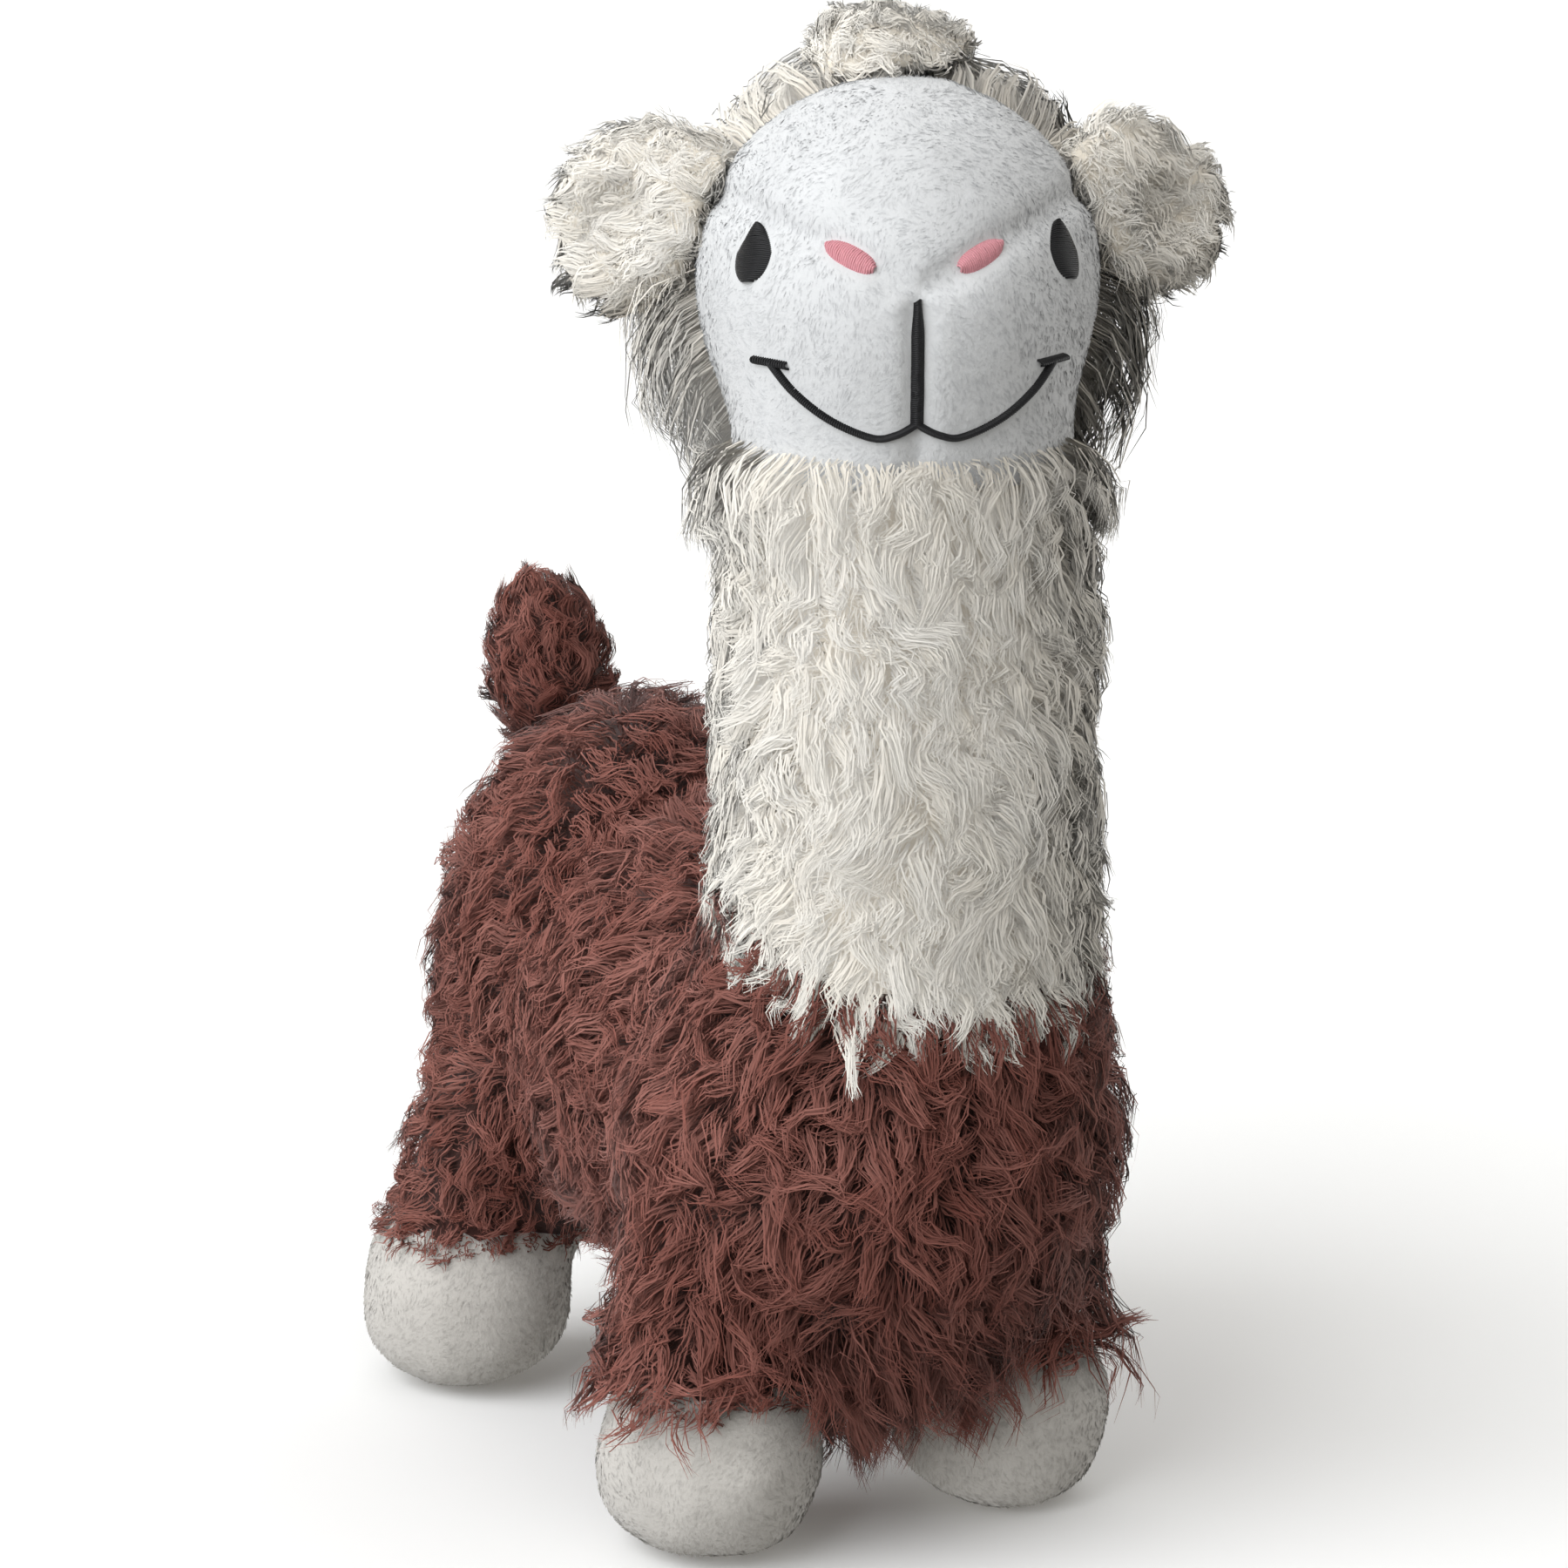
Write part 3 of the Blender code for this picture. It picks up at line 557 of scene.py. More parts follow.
def thread_tree():
    """The node tree that makes a round thread along each line of a mesh of edges."""
    found = bpy.data.node_groups.get("Satin thread")
    if found:
        return found
    tree, given = new_tree("Satin thread", THREAD_INPUTS)
    lines = add_node(tree, "GeometryNodeMeshToCurve", {"Mesh": given["Geometry"]})
    round_profile = {"Resolution": 6, "Radius": given["Radius"]}
    ring = add_node(tree, "GeometryNodeCurvePrimitiveCircle", round_profile)
    tubes = add_node(
        tree,
        "GeometryNodeCurveToMesh",
        {"Curve": lines.outputs[0], "Profile Curve": ring.outputs[0], "Fill Caps": True},
    )
    real = add_node(tree, "GeometryNodeRealizeInstances", {"Geometry": tubes.outputs[0]})
    end_tree(tree, real.outputs[0], given["Material"])
    return tree


def stitched(solid, rows, surface, material):
    """Satin stitches in place of a solid, each arched over the plush between its two ends."""
    settings = bpy.context.scene.alpaca_thread
    shape = bmesh.new()
    for start, end in rows:
        line = []
        for step in range(STITCH_POINTS + 1):
            share = step / STITCH_POINTS
            place, normal = on_surface(start.lerp(end, share), surface)
            height = -settings.radius
            if 0 < step < STITCH_POINTS:
                height = settings.arch * math.sin(math.pi * share) ** 0.6
            line.append(shape.verts.new(place + normal * height))
        for pair in zip(line, line[1:]):
            shape.edges.new(pair)
    name = f"{solid}_stitches"
    values = {"Radius": settings.radius, "Material": material}
    piece = mesh_piece(name, through_tree(name, as_mesh(shape, name), thread_tree(), values), material)
    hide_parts(solid)


# Node trees


def add_node(tree, kind, inputs=None, **settings):
    """A node with its settings, and its inputs given as {name or index: socket or value}."""
    made = tree.nodes.new(kind)
    for key, value in settings.items():
        setattr(made, key, value)
    for key, value in (inputs or {}).items():
        if isinstance(value, bpy.types.NodeSocket):
            tree.links.new(value, made.inputs[key])
        else:
            made.inputs[key].default_value = value
    return made


def calc(tree, operation, *values):
    """One sum on numbers."""
    inputs = dict(enumerate(values))
    return add_node(tree, "ShaderNodeMath", inputs, operation=operation).outputs[0]


def vector_calc(tree, operation, *values):
    """One sum on vectors."""
    inputs = dict(enumerate(values))
    return add_node(tree, "ShaderNodeVectorMath", inputs, operation=operation).outputs[0]


def scaled(tree, vector, amount):
    """A vector times a number."""
    node = add_node(tree, "ShaderNodeVectorMath", {0: vector, "Scale": amount}, operation="SCALE")
    return node.outputs[0]


def total(tree, *vectors):
    """The sum of some vectors."""
    result = vectors[0]
    for vector in vectors[1:]:
        result = vector_calc(tree, "ADD", result, vector)
    return result


def between(tree, kind, share, start, end):
    """The mix of two values of a kind: FLOAT, VECTOR or RGBA."""
    node = add_node(tree, "ShaderNodeMix", {0: share}, data_type=kind)
    first = {"FLOAT": 2, "VECTOR": 4, "RGBA": 6}[kind]
    for offset, value in enumerate((start, end)):
        socket = node.inputs[first + offset]
        if isinstance(value, bpy.types.NodeSocket):
            tree.links.new(value, socket)
        else:
            socket.default_value = value
    return node.outputs[{"FLOAT": 0, "VECTOR": 1, "RGBA": 2}[kind]]


def named(tree, name, kind="FLOAT_VECTOR"):
    """What is kept under this name for each element."""
    node = add_node(tree, "GeometryNodeInputNamedAttribute", {"Name": name}, data_type=kind)
    return node.outputs[0]


def stored(tree, geometry, name, value, kind="FLOAT_VECTOR"):
    """The geometry with a value kept under this name for each point."""
    node = add_node(
        tree,
        "GeometryNodeStoreNamedAttribute",
        {"Geometry": geometry, "Name": name, "Value": value},
        data_type=kind,
        domain="POINT",
    )
    return node.outputs[0]


def chance(tree, low, high, seed, identity=None):
    """A random number for each element, or for each identity."""
    inputs = {2: low, 3: high, 8: seed}
    if identity is not None:
        inputs[7] = identity
    return add_node(tree, "FunctionNodeRandomValue", inputs, data_type="FLOAT").outputs[1]


def chance_vector(tree, seed):
    """A random vector for each element, with parts between -1 and 1."""
    inputs = {0: (-1.0, -1.0, -1.0), 1: (1.0, 1.0, 1.0), 8: seed}
    return add_node(tree, "FunctionNodeRandomValue", inputs, data_type="FLOAT_VECTOR").outputs[0]


def dotted(tree, first, second):
    """The dot product of two vectors."""
    node = add_node(tree, "ShaderNodeVectorMath", {0: first, 1: second}, operation="DOT_PRODUCT")
    return node.outputs["Value"]


def drift(tree, place, size, reach, along, stand, level):
    """A smooth straying of strands near each other, kept off the way up by the share in level."""
    cloud = add_node(
        tree,
        "ShaderNodeTexNoise",
        {"Vector": place, "Scale": calc(tree, "DIVIDE", 1.0, size), "Detail": 1.0},
    )
    centred = vector_calc(tree, "SUBTRACT", cloud.outputs["Color"], (0.5, 0.5, 0.5))
    risen = scaled(tree, stand, calc(tree, "MULTIPLY", dotted(tree, centred, stand), level))
    flat = vector_calc(tree, "SUBTRACT", centred, risen)
    return scaled(tree, flat, calc(tree, "MULTIPLY", calc(tree, "MULTIPLY", along, reach), 4.0))


def new_tree(name, inputs):
    """A modifier's node tree with these inputs, each (name, type, default), and its input sockets."""
    tree = bpy.data.node_groups.new(name, "GeometryNodeTree")
    tree.is_modifier = True
    tree.interface.new_socket("Geometry", in_out="INPUT", socket_type="NodeSocketGeometry")
    for label, kind, default in inputs:
        socket = tree.interface.new_socket(label, in_out="INPUT", socket_type=kind)
        if default is not None:
            socket.default_value = default
    tree.interface.new_socket("Geometry", in_out="OUTPUT", socket_type="NodeSocketGeometry")
    return tree, tree.nodes.new("NodeGroupInput").outputs


def end_tree(tree, geometry, material):
    """Gives a tree's geometry its material and hands it out."""
    done = add_node(tree, "GeometryNodeSetMaterial", {"Geometry": geometry, "Material": material})
    add_node(tree, "NodeGroupOutput", {"Geometry": done.outputs[0]})


MOST_LOCKS = 400000.0
THREAD_INPUTS = (
    ("Radius", "NodeSocketFloat", 0.00024),
    ("Material", "NodeSocketMaterial", None),
)
PILE_INPUTS = (
    ("Length", "NodeSocketFloat", 0.015),
    ("Width", "NodeSocketFloat", 0.0006),
    ("Density", "NodeSocketFloat", 1000000.0),
    ("Clump Distance", "NodeSocketFloat", 0.005),
    ("Clumping", "NodeSocketFloat", 0.7),
    ("Lock Turn", "NodeSocketFloat", 0.4),
    ("Curl Radius", "NodeSocketFloat", 0.0015),
    ("Curl Turns", "NodeSocketFloat", 1.2),
    ("Flow", "NodeSocketFloat", 0.004),
    ("Flow Size", "NodeSocketFloat", 0.008),
    ("Frizz", "NodeSocketFloat", 0.0006),
    ("Frizz Size", "NodeSocketFloat", 0.0022),
    ("Root Angle", "NodeSocketFloat", 0.3),
    ("Tip Angle", "NodeSocketFloat", 1.9),
    ("Fray", "NodeSocketFloat", 0.001),
    ("Segments", "NodeSocketInt", 6),
    ("Seed", "NodeSocketInt", 1),
    ("Material", "NodeSocketMaterial", None),
)


def pile_tree():
    """The node tree that grows long pile: tapering strands, gathered in locks that wave or curl."""
    found = bpy.data.node_groups.get("Long pile")
    if found:
        return found
    tree, given = new_tree("Long pile", PILE_INPUTS)
    backing = given["Geometry"]
    seed = given["Seed"]

    # Locks, each at a point of its own on the backing
    locks = add_node(
        tree,
        "GeometryNodeDistributePointsOnFaces",
        {"Mesh": backing, "Distance Min": given["Clump Distance"], "Density Max": MOST_LOCKS,
         "Seed": calc(tree, "ADD", seed, 100)},
        distribute_method="POISSON",
    )
    lock_points = stored(tree, locks.outputs["Points"], "stand", locks.outputs["Normal"])
    stand = named(tree, "stand")
    turned = total(tree, named(tree, "lay"), scaled(tree, chance_vector(tree, 17), given["Lock Turn"]))
    level = vector_calc(tree, "SUBTRACT", turned, scaled(tree, stand, dotted(tree, turned, stand)))
    lock_points = stored(tree, lock_points, "lay", vector_calc(tree, "NORMALIZE", level))

    # Roots of the strands
    density = calc(tree, "MULTIPLY", given["Density"], named(tree, "cover", "FLOAT"))
    roots = add_node(
        tree,
        "GeometryNodeDistributePointsOnFaces",
        {"Mesh": backing, "Density": density, "Seed": seed},
        distribute_method="RANDOM",
    )
    place = add_node(tree, "GeometryNodeInputPosition").outputs[0]
    nearest = add_node(
        tree,
        "GeometryNodeSampleNearest",
        {"Geometry": lock_points, "Sample Position": place},
        domain="POINT",
    ).outputs[0]

    def of_lock(value):
        node = add_node(tree, "GeometryNodeSampleIndex", {"Geometry": lock_points, "Index": nearest},
                        data_type="FLOAT_VECTOR", domain="POINT")
        tree.links.new(value, node.inputs["Value"])
        return node.outputs[0]

    points = stored(tree, roots.outputs["Points"], "stand", roots.outputs["Normal"])
    points = stored(tree, points, "root", place)
    points = stored(tree, points, "lock_root", of_lock(place))
    points = stored(tree, points, "lock_stand", of_lock(stand))
    points = stored(tree, points, "lock_lay", of_lock(named(tree, "lay")))
    points = stored(tree, points, "phase", chance(tree, 0.0, 1.0, 7, nearest), "FLOAT")
    points = stored(tree, points, "lock_tone", chance(tree, 0.0, 1.0, 8, nearest), "FLOAT")
    points = stored(tree, points, "lock_size", chance(tree, 0.72, 1.18, 9, nearest), "FLOAT")
    points = stored(tree, points, "strand_tone", chance(tree, 0.0, 1.0, 3), "FLOAT")
    points = stored(tree, points, "strand_size", chance(tree, 0.72, 1.08, 4), "FLOAT")
    points = stored(tree, points, "strand_turn", chance(tree, -1.1, 1.1, 5), "FLOAT")
    points = stored(tree, points, "fray", chance_vector(tree, 6))

    # One strand as a flat strip along Y, with its root at -0.5 and its tip at 0.5
    strip = add_node(
        tree,
        "GeometryNodeMeshGrid",
        {"Size X": 1.0, "Size Y": 1.0, "Vertices X": 2,
         "Vertices Y": calc(tree, "ADD", given["Segments"], 1.0)},
    )
    flat = stored(tree, strip.outputs["Mesh"], "strip", place)
    strands = add_node(tree, "GeometryNodeInstanceOnPoints", {"Points": points, "Instance": flat})
    real = add_node(tree, "GeometryNodeRealizeInstances", {"Geometry": strands.outputs[0]})

    # How a strand bends: an arc that starts at the root angle from upright and ends at the tip angle
    parts = add_node(tree, "ShaderNodeSeparateXYZ", {0: named(tree, "strip")})
    across = parts.outputs[0]
    along = calc(tree, "ADD", parts.outputs[1], 0.5)
    low, high = given["Root Angle"], given["Tip Angle"]
    swing = calc(tree, "SUBTRACT", high, low)
    angle = calc(tree, "MULTIPLY_ADD", swing, along, low)
    gained = calc(tree, "SUBTRACT", calc(tree, "SINE", angle), calc(tree, "SINE", low))
    covered = calc(tree, "SUBTRACT", calc(tree, "COSINE", low), calc(tree, "COSINE", angle))
    rise = calc(tree, "DIVIDE", gained, swing)
    run = calc(tree, "DIVIDE", covered, swing)
    size = calc(tree, "MULTIPLY", given["Length"], named(tree, "trim", "FLOAT"))
    own_size = calc(tree, "MULTIPLY", size, named(tree, "strand_size", "FLOAT"))
    lock_size = calc(tree, "MULTIPLY", size, named(tree, "lock_size", "FLOAT"))
    lock_size = calc(tree, "MULTIPLY", lock_size, named(tree, "strand_size", "FLOAT"))

    def bent(start, up, ahead, reach):
        upward = scaled(tree, up, calc(tree, "MULTIPLY", rise, reach))
        onward = scaled(tree, ahead, calc(tree, "MULTIPLY", run, reach))
        return total(tree, start, upward, onward)

    # The strand's own way, gathered towards the middle of its lock
    own = bent(named(tree, "root"), stand, named(tree, "lay"), own_size)
    lock_lay, lock_stand = named(tree, "lock_lay"), named(tree, "lock_stand")
    lock = bent(named(tree, "lock_root"), lock_stand, lock_lay, lock_size)
    gather = calc(tree, "MULTIPLY", given["Clumping"], calc(tree, "POWER", along, 0.8))
    centre = between(tree, "VECTOR", gather, own, lock)
    side = vector_calc(tree, "NORMALIZE", vector_calc(tree, "CROSS_PRODUCT", lock_lay, lock_stand))

    # The wave of the lock, the ends that fray out of it, and the strand's width
    wave = calc(tree, "MULTIPLY_ADD", given["Curl Turns"], along, named(tree, "phase", "FLOAT"))
    wave = calc(tree, "MULTIPLY", wave, 2 * math.pi)
    onset = calc(tree, "MINIMUM", calc(tree, "MULTIPLY", along, 2.2), 1.0)
    reach = calc(tree, "MULTIPLY", given["Curl Radius"], onset)
    sway = scaled(tree, side, calc(tree, "MULTIPLY", reach, calc(tree, "SINE", wave)))
    height = calc(tree, "MULTIPLY", reach, 0.7)
    lift = scaled(tree, lock_stand, calc(tree, "MULTIPLY", height, calc(tree, "COSINE", wave)))
    loosened = calc(tree, "MULTIPLY", given["Fray"], calc(tree, "POWER", along, 1.5))
    loose = scaled(tree, named(tree, "fray"), loosened)
    turn = named(tree, "strand_turn", "FLOAT")
    sideways = scaled(tree, side, calc(tree, "COSINE", turn))
    upright = scaled(tree, lock_stand, calc(tree, "SINE", turn))
    facing = total(tree, sideways, upright)
    taper = calc(tree, "SUBTRACT", 1.0, calc(tree, "MULTIPLY", calc(tree, "POWER", along, 2.5), 0.88))
    spread = calc(tree, "MULTIPLY", calc(tree, "MULTIPLY", across, given["Width"]), taper)
    strayed = drift(tree, centre, given["Flow Size"], given["Flow"], along, lock_stand, 0.65)
    kinked = drift(tree, centre, given["Frizz Size"], given["Frizz"], along, lock_stand, 0.0)
    final = total(tree, centre, sway, lift, loose, strayed, kinked, scaled(tree, facing, spread))
    moved = add_node(tree, "GeometryNodeSetPosition", {"Geometry": real.outputs[0], "Position": final})

    lock_tone, strand_tone = named(tree, "lock_tone", "FLOAT"), named(tree, "strand_tone", "FLOAT")
    tone = between(tree, "FLOAT", 0.45, lock_tone, strand_tone)
    shaded = stored(tree, moved.outputs[0], "along", along, "FLOAT")
    shaded = stored(tree, shaded, "tone", tone, "FLOAT")
    smooth = add_node(tree, "GeometryNodeSetShadeSmooth", {"Geometry": shaded})
    end_tree(tree, smooth.outputs[0], given["Material"])
    return tree


KEPT_ATTRIBUTES = ("along", "tone", "soft", "position", "sharp_face", "material_index")


def soften(mesh, share):
    """Turns the normals of strands towards the way that the cloth under them faces, by a share."""
    stands = np.zeros(len(mesh.vertices) * 3, dtype=np.float32)
    own = np.zeros(len(mesh.vertices) * 3, dtype=np.float32)
    mesh.attributes["stand"].data.foreach_get("vector", stands)
    mesh.vertex_normals.foreach_get("vector", own)
    stands, own = stands.reshape(-1, 3), own.reshape(-1, 3)
    outward = np.clip(3.0 * (own * stands).sum(axis=1, keepdims=True), -1.0, 1.0)
    blend = own * outward * (1 - share) + stands * share
    blend /= np.maximum(np.linalg.norm(blend, axis=1, keepdims=True), 1e-6)
    soft = mesh.attributes.new("soft", "FLOAT_VECTOR", "POINT")
    soft.data.foreach_set("vector", blend.ravel())
    return blend


def kept_off_floor(mesh):
    """Lifts the strands that would reach below the floor onto it."""
    places = np.zeros(len(mesh.vertices) * 3, dtype=np.float32)
    mesh.vertices.foreach_get("co", places)
    places[2::3] = np.maximum(places[2::3], FLOOR_EASE)
    mesh.vertices.foreach_set("co", places)


def grown_pile(name, backing, material, values, softness=STRAND_SOFTNESS):
    """A piece made of strands that grow on a backing, which carries lay, trim and cover."""
    mesh = through_tree(name, backing, pile_tree(), {**values, "Material": material})
    normals = soften(mesh, softness)
    kept_off_floor(mesh)
    for attribute in [item.name for item in mesh.attributes]:
        if attribute not in KEPT_ATTRIBUTES and not attribute.startswith("."):
            mesh.attributes.remove(mesh.attributes[attribute])
    piece = mesh_piece(name, mesh, material)
    mesh.normals_split_custom_set_from_vertices(normals.tolist())
    return piece


def combed(shape, lay, trim, cover):
    """A backing mesh with the lay, the trim and the cover of its pile at each vertex."""
    shape.normal_update()
    lay_layer = shape.verts.layers.float_vector.new("lay")
    trim_layer = shape.verts.layers.float.new("trim")
    cover_layer = shape.verts.layers.float.new("cover")
    for vert in shape.verts:
        way = lay(vert.co, vert.normal)
        way = way - vert.normal * way.dot(vert.normal)
        vert[lay_layer] = way.normalized() if way.length > 1e-6 else Vector((0, 0, -1))
        vert[trim_layer] = trim(vert.co, vert.normal)
        vert[cover_layer] = cover(vert.co, vert.normal)
    return as_mesh(shape, "backing")


# Materials


def new_material(name):
    """A material, its node tree and its shader."""
    material = bpy.data.materials.new(name)
    material.use_nodes = True
    tree = material.node_tree
    return material, tree, tree.nodes["Principled BSDF"]


def colour_of(values):
    """A colour with its alpha."""
    return (*values, 1.0)


def softened(tree, shader):
    """Lights both sides of each strand by its softened normal."""
    soft = add_node(tree, "ShaderNodeAttribute", attribute_name="soft").outputs["Vector"]
    tree.links.new(vector_calc(tree, "NORMALIZE", soft), shader.inputs["Normal"])


def pile_material(name, settings, roughness, sheen):
    """A long pile: dark at the root with painted shade, light at the tip in the strands' own colour, with
    each lock of its own tone.
    """
    found = bpy.data.materials.get(name)
    if found:
        return found
    material, tree, shader = new_material(name)
    along = add_node(tree, "ShaderNodeAttribute", attribute_name="along").outputs["Fac"]
    tone = add_node(tree, "ShaderNodeAttribute", attribute_name="tone").outputs["Fac"]
    place = add_node(tree, "ShaderNodeTexCoord").outputs["Object"]
    patch = add_node(tree, "ShaderNodeTexNoise", {"Vector": place, "Scale": 38.0, "Detail": 2.0})
    depth = calc(tree, "POWER", along, 0.85)
    # Painted shade: each strand runs from the root's shade colour to its own colour at the tip.
    root, tip = colour_of(settings.root_shade_colour), colour_of(settings.tip_colour)
    base = between(tree, "RGBA", depth, root, tip)
    light = calc(tree, "MULTIPLY", tone, calc(tree, "MULTIPLY", patch.outputs["Fac"], 1.1))
    coloured = between(tree, "RGBA", light, base, colour_of(settings.pale_colour))
    tree.links.new(coloured, shader.inputs["Base Color"])
    softened(tree, shader)
    shader.inputs["Roughness"].default_value = roughness
    shader.inputs["Specular IOR Level"].default_value = 0.25
    shader.inputs["Sheen Weight"].default_value = sheen
    shader.inputs["Sheen Roughness"].default_value = 0.5
    return material


def plush_material(name, colour):
    """A short plush: fine nap in its bump, and soft clouds of painted shade where the nap leans."""
    found = bpy.data.materials.get(name)
    if found:
        return found
    material, tree, shader = new_material(name)
    place = add_node(tree, "ShaderNodeTexCoord").outputs["Object"]
    cloud = add_node(tree, "ShaderNodeTexNoise", {"Vector": place, "Scale": 70.0, "Detail": 3.0})
    nap = add_node(tree, "ShaderNodeTexNoise", {"Vector": place, "Scale": 1500.0, "Detail": 2.0})
    tufts = add_node(tree, "ShaderNodeTexNoise", {"Vector": place, "Scale": 420.0, "Detail": 4.0})
    # Painted shade: the colour darkens in soft clouds where the nap leans.
    shade = tuple(value * 0.86 for value in colour)
    base = between(tree, "RGBA", cloud.outputs["Fac"], colour_of(colour), colour_of(shade))
    tree.links.new(base, shader.inputs["Base Color"])
    height = calc(tree, "ADD", nap.outputs["Fac"], tufts.outputs["Fac"])
    bump = add_node(tree, "ShaderNodeBump", {"Strength": 0.22, "Distance": 0.0005, "Height": height})
    tree.links.new(bump.outputs[0], shader.inputs["Normal"])
    shader.inputs["Roughness"].default_value = 0.9
    shader.inputs["Specular IOR Level"].default_value = 0.15
    shader.inputs["Sheen Weight"].default_value = 0.35
    shader.inputs["Sheen Roughness"].default_value = 0.6
    return material


def nap_material(name, colour):
    """The fibres of a short plush, a little darker at the root and in soft clouds, as painted shade."""
    found = bpy.data.materials.get(name)
    if found:
        return found
    material, tree, shader = new_material(name)
    along = add_node(tree, "ShaderNodeAttribute", attribute_name="along").outputs["Fac"]
    place = add_node(tree, "ShaderNodeTexCoord").outputs["Object"]
    cloud = add_node(tree, "ShaderNodeTexNoise", {"Vector": place, "Scale": 70.0, "Detail": 3.0})
    # Painted shade: the fibres darken towards their roots and in soft clouds.
    shade = tuple(value * 0.88 for value in colour)
    light = calc(tree, "MULTIPLY", calc(tree, "MULTIPLY_ADD", along, 0.5, 0.5), cloud.outputs["Fac"])
    base = between(tree, "RGBA", light, colour_of(shade), colour_of(colour))
    tree.links.new(base, shader.inputs["Base Color"])
    softened(tree, shader)
    shader.inputs["Roughness"].default_value = 0.9
    shader.inputs["Specular IOR Level"].default_value = 0.15
    return material


def thread_material(name, colour, roughness):
    """Satin thread, with a fine twist along it."""
    found = bpy.data.materials.get(name)
    if found:
        return found
    material, tree, shader = new_material(name)
    place = add_node(tree, "ShaderNodeTexCoord").outputs["Object"]
    twist = add_node(tree, "ShaderNodeTexNoise", {"Vector": place, "Scale": 2600.0, "Detail": 2.0})
    # The colour is lighter where the twist stands high, in the same noise as its bump.
    twist_lighter = tuple(min(1.0, value * 1.35 + 0.003) for value in colour)
    base = between(tree, "RGBA", twist.outputs["Fac"], colour_of(colour), colour_of(twist_lighter))
    tree.links.new(base, shader.inputs["Base Color"])
    height = twist.outputs["Fac"]
    bump = add_node(tree, "ShaderNodeBump", {"Strength": 0.4, "Distance": 0.0001, "Height": height})
    tree.links.new(bump.outputs[0], shader.inputs["Normal"])
    shader.inputs["Roughness"].default_value = roughness
    shader.inputs["Specular IOR Level"].default_value = 0.25
    return material


def brown_pile():
    coat = bpy.context.scene.alpaca_coat
    return pile_material("brown_coat_pile", coat, 0.75, 0.12)


# The backing cloth is painted shade: it takes the root's shade colour, so that the gaps between the locks
# read as deep shade.
def brown_cloth():
    return plush_material("brown_backing_painted_shade", bpy.context.scene.alpaca_coat.root_shade_colour)


# Painted shade, as for the brown backing: the cream backing takes the fleece's root shade colour.
def cream_cloth():
    return plush_material("cream_backing_painted_shade", bpy.context.scene.alpaca_fleece.root_shade_colour)


def cream_pile():
    fleece = bpy.context.scene.alpaca_fleece
    return pile_material("cream_fleece_pile", fleece, 0.8, 0.1)


def face_fibre():
    return nap_material("white_face_plush_fibre", bpy.context.scene.alpaca_plush.colour)


# The feet's plush and fibres take the foot colour, which is painted shade for their place under the body.
def foot_fibre():
    return nap_material("white_foot_plush_fibre_painted_shade", bpy.context.scene.alpaca_plush.foot_shade_colour)


def face_plush():
    return plush_material("white_face_plush", bpy.context.scene.alpaca_plush.colour)


def foot_plush():
    return plush_material("white_foot_plush_painted_shade", bpy.context.scene.alpaca_plush.foot_shade_colour)


# Ways that the pile lies


def head_axes():
    """Across, backward and up, as the head stands once it is turned and raised."""
    turned = Matrix.Rotation(HEAD_TURN, 3, "Z") @ Matrix.Rotation(-HEAD_RAISE, 3, "X")
    return turned @ Vector((1, 0, 0)), turned @ Vector((0, 1, 0)), turned @ Vector((0, 0, 1))


@functools.cache
def middle_of(*names):
    """The middle of the box round these solids."""
    corners = [corner for name in names for corner in box_of(name)]
    lows = Vector(min(corner[axis] for corner in corners) for axis in range(3))
    highs = Vector(max(corner[axis] for corner in corners) for axis in range(3))
    return (lows + highs) / 2


def swirl(place, size, amount):
    """A smooth straying from place to place."""
    return noise.noise_vector(place / size) * amount


def smooth_share(value, low, high):
    """0 up to low, 1 from high, and a smooth rise between them."""
    share = min(1.0, max(0.0, (value - low) / (high - low)))
    return share * share * (3 - 2 * share)


def full(place, normal):
    """The same everywhere."""
    return 1.0


def plush_lay(place, normal):
    """Down, with the nap brushed this way and that."""
    return Vector((0, 0, -0.6)) + swirl(place, 0.020, 1.2)


def seam_crease(vert):
    """How far the seams of the face are drawn in."""
    (first, _), (second, _) = nearest_panels(vert.co, FACE_PANELS)[:2]
    apart = (second - first) / CREASE_WIDTH
    return -CREASE_DEPTH * math.exp(-apart * apart)


def foot_lump(vert):
    """Slight unevenness of the filling in a foot."""
    return noise.noise(vert.co / LUMP_SIZE) * LUMP_HEIGHT


def coat_lay(place, normal):
    """Down and a little to the rear, in tousled locks."""
    tousled = swirl(place, 0.020, 1.3) + swirl(place + Vector((9, 9, 9)), 0.007, 0.7)
    return Vector((0, 0.15, -0.7)) + tousled


def coat_trim(place, normal):
    """Short over the feet and on the rump, longest on the front of the chest."""
    rear = smooth_share(place.y, -0.01, 0.04)
    chest = smooth_share(-place.y, 0.020, 0.050) * (1 - smooth_share(place.z, 0.100, 0.125))
    uneven = 1 + 0.30 * noise.noise(place / 0.006)
    low = 1 - smooth_share(place.z, 0.040, 0.110)
    near = 0.26 + 0.22 * smooth_share(place.x, 0.0, 0.03)
    hem = 1.05 - 0.45 * rear
    shortened = (hem + (1 - hem) * foot_share(place)) * (1 - 0.42 * rear * low)
    return shortened * (1 + near * chest) * uneven


def fleece_lay(place, normal):
    """Down the neck, and away from the face round its edge."""
    _, backward, _ = head_axes()
    away = (place - middle_of(*FACE_PANELS)).normalized()
    down = Vector((0, 0.02, -1)) + swirl(place, 0.024, 0.95) + swirl(place, 0.009, 0.35)
    cheek = Vector((0, 0, -0.75)) + away * 0.8 - backward * 0.25 + swirl(place, 0.015, 0.6)
    crown = away + Vector((0, 0, 0.1)) + swirl(place, 0.012, 0.8)
    beside = smooth_share(place.z, 0.180, 0.195)
    above = smooth_share(place.z, 0.228, 0.245)
    return down * (1 - beside) + (cheek * (1 - above) + crown * above) * beside


